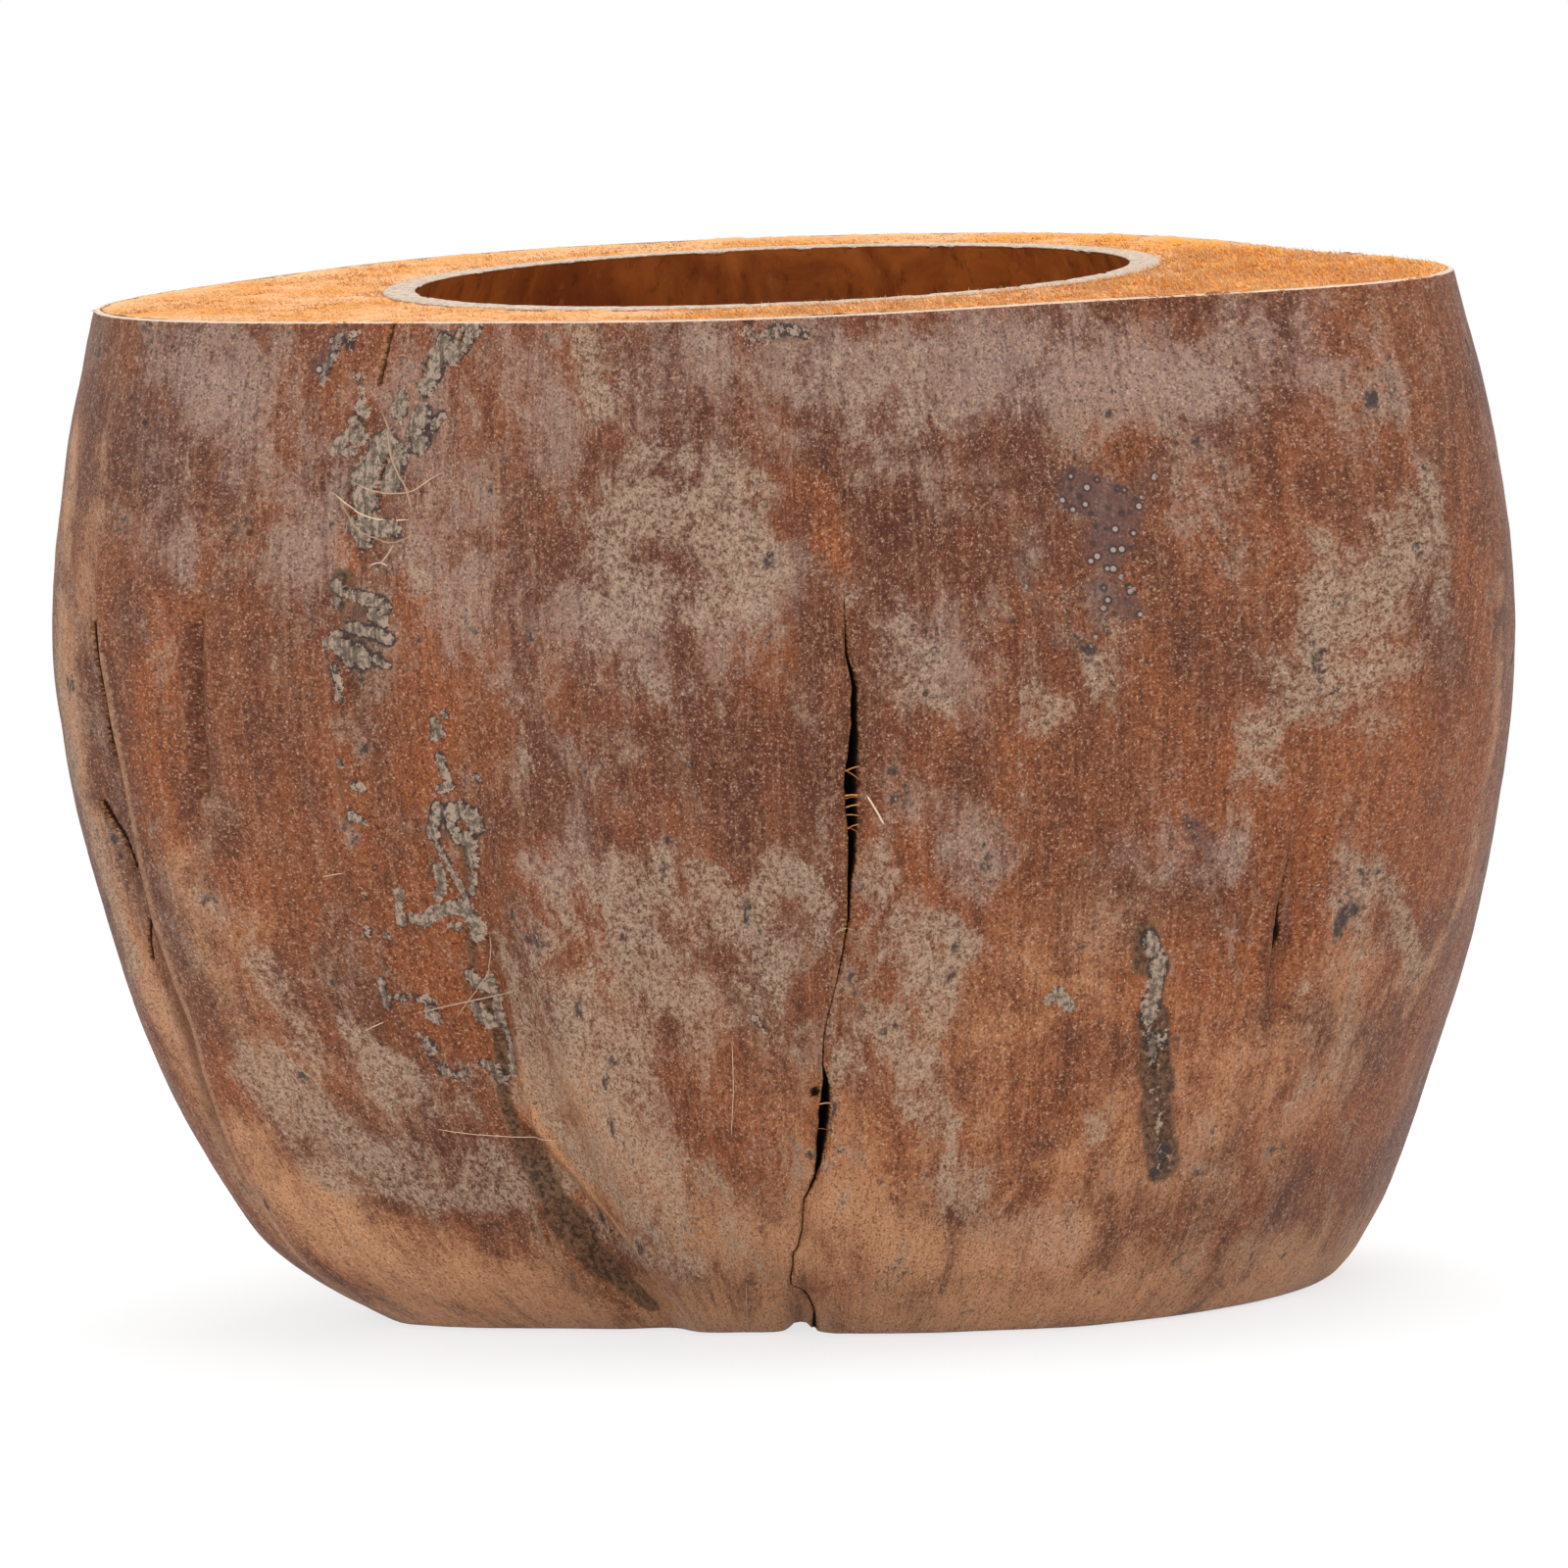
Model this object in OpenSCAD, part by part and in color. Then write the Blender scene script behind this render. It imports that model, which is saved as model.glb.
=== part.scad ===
// Bowl made from a dried coconut that is sawn flat at the top and at the foot.
// The hard inner shell is the cup, and the fibrous husk and its skin are left on round it.
// +Z is up. The origin lies on the shell's axis, in the plane of the flat foot.
// The front of the bowl looks along -Y, and +X is to the right of it.
// Angles run counterclockwise from +X, so 270 degrees is the front.

/* [Shell] */
// Outer diameter of the shell at its widest level
shell_d = 118; // [100:1:140]
// Wall of the shell
shell_wall = 4; // [3:0.5:6]
// From the widest level down to the outside of the shell's floor
shell_drop = 64; // [50:1:80]
// From the widest level up to the sawn rim
rim_rise = 23; // [10:1:35]

/* [Husk] */
// Husk under the shell, down to the flat foot
foot_t = 54; // [30:1:80]
// Husk beside the shell between the corners, at its thickest level
flank_t = 14; // [10:1:24]
// Radius of the flat foot between the corners
foot_r = 42; // [36:1:52]
// What the left corner adds to the husk
left_corner_t = 28; // [10:1:34]
// What the right corner adds to the husk
right_corner_t = 32; // [10:1:38]
// What the belly adds at the front
belly_t = 7; // [0:0.5:12]
// What the third, blunt corner adds at the back
back_corner_t = 8; // [0:0.5:16]

/* [Folds] */
// Depth of the long fold beside the left corner
fold_depth = 2.5; // [0:0.1:4]
// Depth of the valley that runs to the foot at the lower left
valley_depth = 4; // [0:0.1:6]
// Height of the toe that swells out beside that valley
toe_rise = 2.5; // [0:0.1:4]
// Depth of the trough along the drying crack, where it meets the foot
trough_depth = 4.5; // [0:0.1:6]

/* [Skin] */
// Thickness of the dry skin
skin_t = 0.8; // [0.4:0.1:2]
// Width of the drying crack at its widest
crack_w = 1.6; // [0.6:0.1:3]
// Depth of the drying crack, through the skin and into the husk
crack_depth = 5; // [2:0.5:8]

/* [Germ pores] */
// Diameter of the soft pore, the one that a sprout grows through
soft_pore_d = 11; // [8:0.5:14]
// Diameter of each of the two hard pores
hard_pore_d = 8; // [5:0.5:10]
// Distance of the pores from the shell's axis
pore_reach = 17; // [14:0.5:22]
// How far the plug of a pore lies below the wall on either side
pore_sink = 0.8; // [0.3:0.1:1.2]

/* [Hidden] */

// Gap between pieces that have grown together and shrunk in drying
grown_gap = 0.1;
// Overrun of the cuts
over = 1;
slab_t = 2 * over;

// Levels
height = foot_t + shell_drop + rim_rise;
widest_z = foot_t + shell_drop;
slab_w = 2 * (shell_d + flank_t + right_corner_t);

// The husk's form is given at seven levels, as shares of the height
level_shares = [0, 0.06, 0.2, 0.4, 0.65, 0.85, 1];

// The round body between the corners, as shares of the way from foot_r to flank_r
flank_r = shell_d / 2 + flank_t;
swell_shares = [0, 0.24, 0.58, 0.84, 1, 0.98, 0.92];

// Each swelling of the husk: its direction at each level, what it adds at its fullest,
// the share of that at each level, and how sharp it is there
left_corner = [
    [196, 195, 194, 193, 192, 192, 193],
    left_corner_t,
    [0.68, 0.82, 0.93, 0.98, 1, 0.93, 0.84],
    [24, 20, 18, 16, 15, 15, 16]
];
right_corner = [
    [365, 360, 352, 344, 337, 334, 333],
    right_corner_t,
    [0.94, 0.86, 0.81, 0.88, 0.98, 1, 0.94],
    [4.5, 5, 6, 9, 14, 20, 24]
];
belly = [
    [308, 304, 296, 290, 284, 281, 280],
    belly_t,
    [1.57, 1.64, 1.43, 1.14, 1, 0.86, 0.71],
    [9, 8, 8, 8, 8, 8, 10]
];
back_corner = [
    [120, 122, 126, 130, 132, 134, 135],
    back_corner_t,
    [0.62, 0.62, 0.75, 0.88, 1, 0.88, 0.75],
    [5, 5, 5, 6, 7, 8, 10]
];
SWELLINGS = [left_corner, right_corner, belly, back_corner];

// Each fold of the skin: its direction at each level, its height (below zero where it is sunk),
// the share of that at each level, and the angle that it spreads over on either side
fold = [
    [203, 202, 201, 199.5, 199, 199, 199],
    -fold_depth,
    [0.4, 0.7, 1, 1, 0.7, 0.1, 0],
    2.8
];
valley = [
    [241, 241, 237, 234.5, 233, 233, 233],
    -valley_depth,
    [0.5, 0.9, 1, 0.5, 0, 0, 0],
    5
];
toe = [
    [251, 250, 246, 241, 239, 239, 239],
    toe_rise,
    [0.6, 0.9, 1, 0.5, 0, 0, 0],
    6
];
trough = [
    [267.5, 267.5, 271, 274.5, 276, 276, 276],
    -trough_depth,
    [1, 0.7, 0.3, 0.25, 0.2, 0, 0],
    3.2
];
FOLDS = [fold, valley, toe, trough];

// The drying crack: shares of the height from the foot up to its tip, its direction there,
// and its width there as a share of crack_w
crack_shares = [0, 0.07, 0.16, 0.26, 0.37, 0.47, 0.56, 0.65, 0.74];
crack_dirs = [267.5, 267.2, 270, 272, 273.8, 275.1, 276, 275.9, 275.6];
crack_width_shares = [0.5, 0.3, 0.35, 0.8, 0.35, 0.6, 1, 0.5, 0.06];

// Columns round the husk and rows up it, the rows closer together near the foot
column_count = 120;
row_count = 20;
row_ease = 1.15;

// Shell profile: half axes of its outside, and of its hollow
outer_a = shell_d / 2;
outer_b = shell_drop;
arc_steps = 24;

// Germ pores: their directions, and their place and slope on the middle of the wall
soft_pore_dir = 262;
left_pore_dir = 146;
right_pore_dir = 24;
pore_arc = acos(pore_reach / (outer_a - shell_wall / 2));
pore_z = widest_z - (outer_b - shell_wall / 2) * sin(pore_arc);
pore_tilt = atan2(cos(pore_arc) / outer_a, sin(pore_arc) / outer_b);

// The highest level that t has reached
function level_below(t) =
    max([for (i = [0:len(level_shares) - 2]) if (t >= level_shares[i]) i]);

// Slope of a table of values at one of the levels
function slope_at(values, i) =
    let (before = max(i - 1, 0), after = min(i + 1, len(values) - 1))
    (values[after] - values[before]) / (level_shares[after] - level_shares[before]);

// A table of values read smoothly at the share t of the height
function at_level(t, values) =
    let (
        i = level_below(t),
        span = level_shares[i + 1] - level_shares[i],
        u = (t - level_shares[i]) / span,
        ease = u * u * (3 - 2 * u),
        lead_in = u * (1 - u) * (1 - u) * span,
        lead_out = -u * u * (1 - u) * span
    )
    values[i] * (1 - ease) + values[i + 1] * ease
    + slope_at(values, i) * lead_in + slope_at(values, i + 1) * lead_out;

// Angle from one direction to another, between -180 and 180
function turn(from, to) = (to - from + 540) % 360 - 180;

// What a swelling adds in the direction a, where s is its row of [direction, reach, sharpness]
function swelling_at(a, s) = s[1] * pow((1 + cos(a - s[0])) / 2, s[2]);

// What a fold adds in the direction a, where f is its row of [direction, height, spread]
function fold_at(a, f) = f[1] * exp(-pow(turn(f[0], a) / f[2], 2));

// The husk's form at the height z: its round body, and its swellings and folds there
function form_at(z) =
    let (t = min(max(z / height, 0), 1))
    [
        foot_r + (flank_r - foot_r) * at_level(t, swell_shares),
        [for (s = SWELLINGS) [at_level(t, s[0]), s[1] * at_level(t, s[2]), at_level(t, s[3])]],
        [for (f = FOLDS) [at_level(t, f[0]), f[1] * at_level(t, f[2]), f[3]]]
    ];

// Sum of a list of numbers
function total(values) = values * [for (v = values) 1];

// Radius of the husk in the direction a, where form is its form at some height
function reach(a, form) =
    form[0]
    + total([for (s = form[1]) swelling_at(a, s)])
    + total([for (f = form[2]) fold_at(a, f)]);

// One ring of points round the husk at height z, drawn in by inset
function ring(z, inset) =
    let (form = form_at(z))
    [
        for (i = [0:column_count - 1])
            let (a = 360 * i / column_count, r = reach(a, form) - inset)
            [r * cos(a), r * sin(a), z]
    ];

// Heights of the rows, and the same with one more row below the foot and one above the rim
row_heights = [for (j = [0:row_count]) height * pow(j / row_count, row_ease)];
long_heights = concat([-over], row_heights, [height + over]);

// All rings of a surface, from the lowest up
function surface_points(heights, inset) = [for (z = heights) each ring(z, inset)];

// The two triangles of each cell between so many rings, whose points start at first
function surface_faces(first, rings) = [
    for (j = [0:rings - 2], i = [0:column_count - 1])
        let (
            next = (i + 1) % column_count,
            a = first + j * column_count + i,
            b = first + j * column_count + next,
            c = a + column_count,
            d = b + column_count
        )
        each [[a, c, b], [b, c, d]]
];

// The same faces turned to look inward
function turned(faces) = [for (f = faces) [f[0], f[2], f[1]]];

// Flat band between a ring of the outer surface and the same ring of the inner one
function band_faces(outer_first, inner_first) = [
    for (i = [0:column_count - 1])
        let (next = (i + 1) % column_count)
        each [
            [outer_first + i, inner_first + i, outer_first + next],
            [outer_first + next, inner_first + i, inner_first + next]
        ]
];

// Flat cap from a ring to a point in its middle
function cap_faces(first, middle) = [
    for (i = [0:column_count - 1]) [first + i, middle, first + (i + 1) % column_count]
];

// Number of points in a surface, and the first point of its top ring
surface_count = (row_count + 1) * column_count;
top_first = row_count * column_count;

// Solid husk, sawn flat at the rim and at the foot
module husk_block(inset) {
    rings = len(long_heights);
    count = rings * column_count;
    difference() {
        polyhedron(
            points = concat(surface_points(long_heights, inset), [[0, 0, -over], [0, 0, height + over]]),
            faces = concat(
                surface_faces(0, rings),
                turned(cap_faces(0, count)),
                cap_faces(count - column_count, count + 1)
            )
        );
        for (z = [-slab_t, height])
            translate([-slab_w / 2, -slab_w / 2, z])
                cube([slab_w, slab_w, slab_t]);
    }
}

// Wedge that cuts the drying crack, with its edge inside the husk and its back outside the skin
module crack_wedge() {
    heights = concat([-over], height * crack_shares);
    dirs = concat([crack_dirs[0]], crack_dirs);
    widths = crack_w * concat([crack_width_shares[0]], crack_width_shares);
    last = len(heights) - 1;
    points = [
        for (i = [0:last])
            let (r = reach(dirs[i], form_at(heights[i])), half = widths[i] / 2)
            each [for (p = [[r - crack_depth, 0], [r + over, -half], [r + over, half]]) [
                p[0] * cos(dirs[i]) - p[1] * sin(dirs[i]),
                p[0] * sin(dirs[i]) + p[1] * cos(dirs[i]),
                heights[i]
            ]]
    ];
    sides = [
        for (i = [0:last - 1], k = [0:2])
            let (a = 3 * i + k, b = 3 * i + (k + 1) % 3)
            each [[a, a + 3, b], [b, a + 3, b + 3]]
    ];
    polyhedron(points = points, faces = concat(sides, [[0, 1, 2], [3 * last + 2, 3 * last + 1, 3 * last]]));
}

// Closed half oval in the XZ plane, grown by grow, from the pole up to the height top
module oval_profile(grow, top) {
    a = outer_a + grow;
    b = outer_b + grow;
    last = asin((top - widest_z) / b);
    arc = [for (i = [0:arc_steps]) -90 + (last + 90) * i / arc_steps];
    polygon(concat([for (p = arc) [a * cos(p), widest_z + b * sin(p)]], [[0, top]]));
}

// Wall of the cup, thinned by sink on both sides
module cup_wall(sink) {
    rotate_extrude($fn = 96)
        difference() {
            oval_profile(-sink, height);
            oval_profile(sink - shell_wall, height + over);
        }
}

// Round bar through the wall at a pore
module pore_bar(direction, d) {
    rotate([0, 0, direction])
        translate([pore_reach, 0, pore_z])
            rotate([0, 180 - pore_tilt, 0])
                cylinder(d = d, h = 2 * shell_wall, center = true, $fn = 48);
}

// Thin plug that closes a pore
module pore_plug(direction, d) {
    intersection() {
        cup_wall(pore_sink);
        pore_bar(direction, d);
    }
}

// Dry outer skin of the fruit, open where the saw went through
module skin() {
    color("#7d5140")
        difference() {
            polyhedron(
                points = concat(surface_points(row_heights, 0), surface_points(row_heights, skin_t)),
                faces = concat(
                    surface_faces(0, row_count + 1),
                    turned(surface_faces(surface_count, row_count + 1)),
                    turned(band_faces(0, surface_count)),
                    band_faces(top_first, surface_count + top_first)
                )
            );
            crack_wedge();
        }
}

// Fibrous husk with the seat that the shell grew in
module coir_husk() {
    color("#c98a4b")
        difference() {
            husk_block(skin_t + grown_gap);
            crack_wedge();
            rotate_extrude($fn = 96)
                oval_profile(grown_gap, height + over);
        }
}

// Hard shell, the cup of the bowl, with its three germ pores in the floor
module shell() {
    color("#6b4023")
        difference() {
            cup_wall(0);
            pore_bar(soft_pore_dir, soft_pore_d + 2 * grown_gap);
            pore_bar(left_pore_dir, hard_pore_d + 2 * grown_gap);
            pore_bar(right_pore_dir, hard_pore_d + 2 * grown_gap);
        }
}

module soft_pore_plug() {
    color("#4a3220")
        pore_plug(soft_pore_dir, soft_pore_d);
}

module left_hard_pore_plug() {
    color("#3d2a1c")
        pore_plug(left_pore_dir, hard_pore_d);
}

module right_hard_pore_plug() {
    color("#3d2a1c")
        pore_plug(right_pore_dir, hard_pore_d);
}

skin();
coir_husk();
shell();
soft_pore_plug();
left_hard_pore_plug();
right_hard_pore_plug();
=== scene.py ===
import math

import bpy
import numpy as np
from mathutils import Matrix, Vector


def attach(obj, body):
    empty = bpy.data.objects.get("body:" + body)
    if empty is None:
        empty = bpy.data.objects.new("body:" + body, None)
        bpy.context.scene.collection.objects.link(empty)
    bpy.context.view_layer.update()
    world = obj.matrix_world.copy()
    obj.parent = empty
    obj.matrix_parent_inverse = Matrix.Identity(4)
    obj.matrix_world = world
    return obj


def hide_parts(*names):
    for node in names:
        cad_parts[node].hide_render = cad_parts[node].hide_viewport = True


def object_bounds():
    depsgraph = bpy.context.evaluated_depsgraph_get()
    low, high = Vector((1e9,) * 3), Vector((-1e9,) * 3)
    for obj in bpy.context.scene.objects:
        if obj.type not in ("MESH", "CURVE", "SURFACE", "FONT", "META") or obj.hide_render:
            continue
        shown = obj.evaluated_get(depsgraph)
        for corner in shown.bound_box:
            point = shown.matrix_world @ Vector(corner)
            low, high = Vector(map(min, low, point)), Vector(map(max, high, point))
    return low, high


bl_info = {
    "name": "Coconut shell bowl",
    "version": (1, 0, 0),
    "blender": (4, 5, 0),
    "location": "View3D > Sidebar > Bowl",
    "description": "Skin, husk, shell and fibres of a bowl made from a sawn coconut",
    "category": "Mesh",
}

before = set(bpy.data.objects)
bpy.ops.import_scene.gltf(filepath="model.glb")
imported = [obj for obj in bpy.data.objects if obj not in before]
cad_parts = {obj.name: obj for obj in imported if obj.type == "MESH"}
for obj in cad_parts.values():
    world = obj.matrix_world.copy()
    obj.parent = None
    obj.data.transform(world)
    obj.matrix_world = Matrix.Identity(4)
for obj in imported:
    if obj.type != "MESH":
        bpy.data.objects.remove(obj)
CAD_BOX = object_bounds()
HEIGHT = CAD_BOX[1].z * 1000
MM = 0.001

# What is seen on the skin: for each mark how soft its edge is, and its strokes. A stroke is half
# its width in mm, its strength, and then the direction and the height of each of its points.
MARKS = {}
MARKS["chalk"] = 0.85, (
    (0.7, 0.7, 222.3, 138.8, 221.6, 135.4, 221.1, 133.3), (0.9, 0.5, 224.2, 139.8, 223.5, 138),
    (0.7, 0.6, 224.3, 134.3, 224.9, 132.7, 225.4, 131), (0.8, 0.9, 225, 129.9, 225.7, 129.1),
    (0.7, 0.9, 224.6, 127.9, 225, 127.4),
    (0.9, 1, 222.6, 124.1, 223.4, 125.2, 224.3, 126.1, 225.3, 125.7),
    (0.7, 1, 223.4, 123.7, 224.3, 123.7), (1.2, 1, 236.9, 140.5, 235.9, 138.5, 234.8, 136.6),
    (1.2, 1, 233.9, 138.2, 233.1, 135.9, 231.8, 132.5), (0.8, 1, 232.3, 136.6, 231.9, 134.6),
    (1.1, 1, 229.3, 130.7, 229.2, 129.2), (1.1, 0.85, 231.6, 129, 231, 126.5, 231.6, 124.4),
    (0.8, 0.6, 233.1, 127.5, 233.9, 128.6),
    (1.8, 1, 227.7, 124.9, 227, 122.3, 225.6, 119.7, 225.9, 116.8),
    (1.5, 1, 229, 122.8, 228.5, 119.7), (1.1, 1, 224.8, 113.9, 226.8, 113.7, 228.9, 113.8),
    (0.9, 0.9, 225.5, 112.6, 226.1, 111.5),
    (0.8, 1, 223.1, 105.9, 224, 104.9, 225.6, 104.3, 227.2, 103.8, 228.1, 102.9),
    (0.7, 0.8, 223.3, 103.7, 223.5, 103.1), (0.8, 1, 226.9, 101.9, 227.8, 101),
    (0.7, 1, 224.4, 100.2, 225.7, 99.9, 227.1, 99.4, 228.4, 98.6),
    (0.7, 0.9, 222.3, 98, 223.3, 99),
    (1.1, 0.9, 223.5, 97.5, 224.4, 96.2, 225.2, 96.6, 225.7, 95.9), (0.5, 1, 226.8, 96, 227.9, 95),
    (0.7, 0.7, 222.8, 94.9, 223, 92.2, 223, 90.5), (0.5, 1, 233.3, 88.7, 233.5, 88.1),
    (0.8, 0.85, 232.3, 87.3, 231.9, 85.3, 232.7, 86), (0.7, 0.9, 232.2, 82.5, 232.5, 80.2),
    (0.7, 0.8, 231.6, 78.1, 232.9, 78.6), (0.8, 1, 231.3, 75.6, 230.7, 73.5, 230.2, 71.7),
    (1.1, 1, 232.5, 74.7, 233.6, 75.1, 234.8, 74.5, 235.1, 73.1),
    (0.7, 1, 232.2, 72.9, 232.6, 72.5), (0.8, 1, 232.7, 71.3, 233.6, 71.5, 234.1, 70.3, 234, 67.8),
    (0.5, 1, 233.8, 66.2, 233.3, 63.8), (0.7, 1, 230.2, 66.9, 230.4, 65.3, 229.8, 63.5),
    (0.4, 1, 230.5, 70.5, 232.5, 63), (0.7, 0.8, 226.1, 63.9, 225.7, 61.8, 225.7, 59.6),
    (0.8, 1, 227, 60.3, 228, 59.7, 228.7, 60.8, 229.6, 61.2),
    (0.9, 1, 230.7, 61.5, 232.1, 61.8, 232.7, 60.4, 233.2, 59.1, 232.9, 57.7),
    (0.5, 0.9, 230.5, 59.2, 231.1, 58.9), (0.5, 0.8, 222.4, 51.5, 222.4, 49.4, 222.5, 47.9),
    (0.4, 0.8, 223.3, 49.2, 224.3, 49), (0.7, 0.7, 225.7, 48.9, 226.4, 48.9, 226.6, 47.6),
    (0.7, 1, 226.4, 46.9, 227.1, 45.9), (0.7, 0.9, 231.3, 52.2, 231.8, 50.9, 232.2, 50.2),
    (0.8, 0.9, 231.2, 47.8, 231.5, 46.1, 232, 45.3),
    (0.4, 1, 232.8, 51.8, 233.1, 48.9, 232.9, 46.1, 233.3, 43.9, 233.1, 41.1, 232.6, 37.8),
    (0.7, 0.6, 225, 43.7, 225.8, 42.6, 225.5, 40.9), (0.4, 1, 225.1, 42.3, 226.1, 41.5),
    (0.8, 0.8, 230.5, 39.8, 231.3, 39, 231.7, 37.5), (1.2, 0.5, 226.2, 39.1, 227.8, 38.3),
    (0.4, 0.9, 222.3, 81.9, 222.4, 81.1), (0.8, 0.5, 223.4, 78.8, 223.9, 78),
    (0.5, 0.9, 222.7, 74.3, 223.9, 73.5), (0.5, 0.7, 222.5, 63.6, 222.7, 62.8),
    (0.5, 0.7, 222.2, 58.7, 222.2, 57.7), (0.4, 0.7, 223.8, 58.1, 224.1, 57.3),
    (0.5, 0.7, 236, 80, 236.4, 79.3), (1.1, 0.6, 267, 139.3, 268.5, 138.2, 270.2, 139.5),
    (0.9, 0.6, 271.6, 139.4, 273.1, 138.3),
    (1.2, 0.9, 303.9, 54.9, 304.9, 51.8, 304.8, 48.3, 304.3, 44.6),
    (0.7, 1.3, 294.5, 47.8, 295.4, 48.8, 295.9, 47.6, 296.5, 46.5),
    (0.5, 0.8, 302, 103.1, 302.6, 102.2), (0.7, 0.6, 264.9, 46.6, 265.7, 45.3),
    (0.7, 0.6, 304.5, 41.3, 305.5, 37.2), (0.5, 0.6, 306.7, 31.6, 307, 26),
    (1.8, 0.37, 304.7, 44.7, 306.1, 34.4, 307.9, 23.4),
)
MARKS["soil"] = 0.6, (
    (1.2, 1, 223.4, 107.1, 224.4, 106.8), (1.6, 0.8, 223.8, 102.6, 224.5, 101, 225.9, 102.6),
    (1.2, 0.8, 223.7, 99.1, 225.3, 98.6), (0.9, 0.9, 224.9, 128.6, 225.6, 127.3, 225.6, 125.2),
    (1.1, 0.6, 231, 127.5, 232.7, 125.4, 234.1, 133), (1.1, 0.6, 225.4, 115, 227.9, 115.2),
    (0.9, 0.8, 230.4, 71.3, 232.9, 72.7, 233.4, 68.1, 232.5, 64.7), (0.9, 0.9, 230, 68, 229.4, 66),
    (0.7, 1, 232.2, 57.1, 231.8, 53.7, 231.2, 51.6),
    (0.8, 0.8, 225.8, 58.4, 227.6, 58.4, 226.4, 60.5), (0.8, 0.7, 231.8, 58.5, 231.9, 56.8),
    (1.2, 0.7, 231.4, 49.1, 230.9, 51), (2.3, 1.6, 304.7, 44, 305.2, 38.5, 306.1, 34.4),
    (2.3, 1.6, 306, 32.3, 306.9, 27.4, 307.9, 23.4), (1.6, 1.3, 303.5, 56.2, 303.4, 51.6),
    (0.7, 0.9, 315.9, 56.6, 316.6, 52.8), (0.5, 1, 297.2, 66.6, 297.6, 66),
    (0.8, 0.6, 267.5, 139.8, 270.9, 138.3), (0.7, 0.8, 200, 91.2, 199.6, 81.7, 200.4, 77.7),
    (0.5, 0.8, 199.6, 99.2, 199.7, 92.5), (1.4, 0.5, 264.9, 45.9, 261.9, 50.7),
    (0.9, 0.7, 222.3, 81.5, 222.3, 73.1), (2.7, 0.35, 197.8, 50, 200.5, 36.5),
    (0.7, 1.3, 232.4, 50.2, 232.5, 43.1, 231.4, 34.8, 231.5, 28.6),
    (1.8, 1.25, 231.9, 27.1, 233, 20.7, 234.9, 15.7),
    (2, 1.35, 232.8, 17.8, 234.8, 12.7, 236.4, 9.2),
    (1.1, 1.3, 237.3, 7.7, 239.1, 5.1, 239.9, 3.8), (3, 0.5, 232.6, 23.6, 233.9, 13.4, 232.6, 7.3),
)
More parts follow.
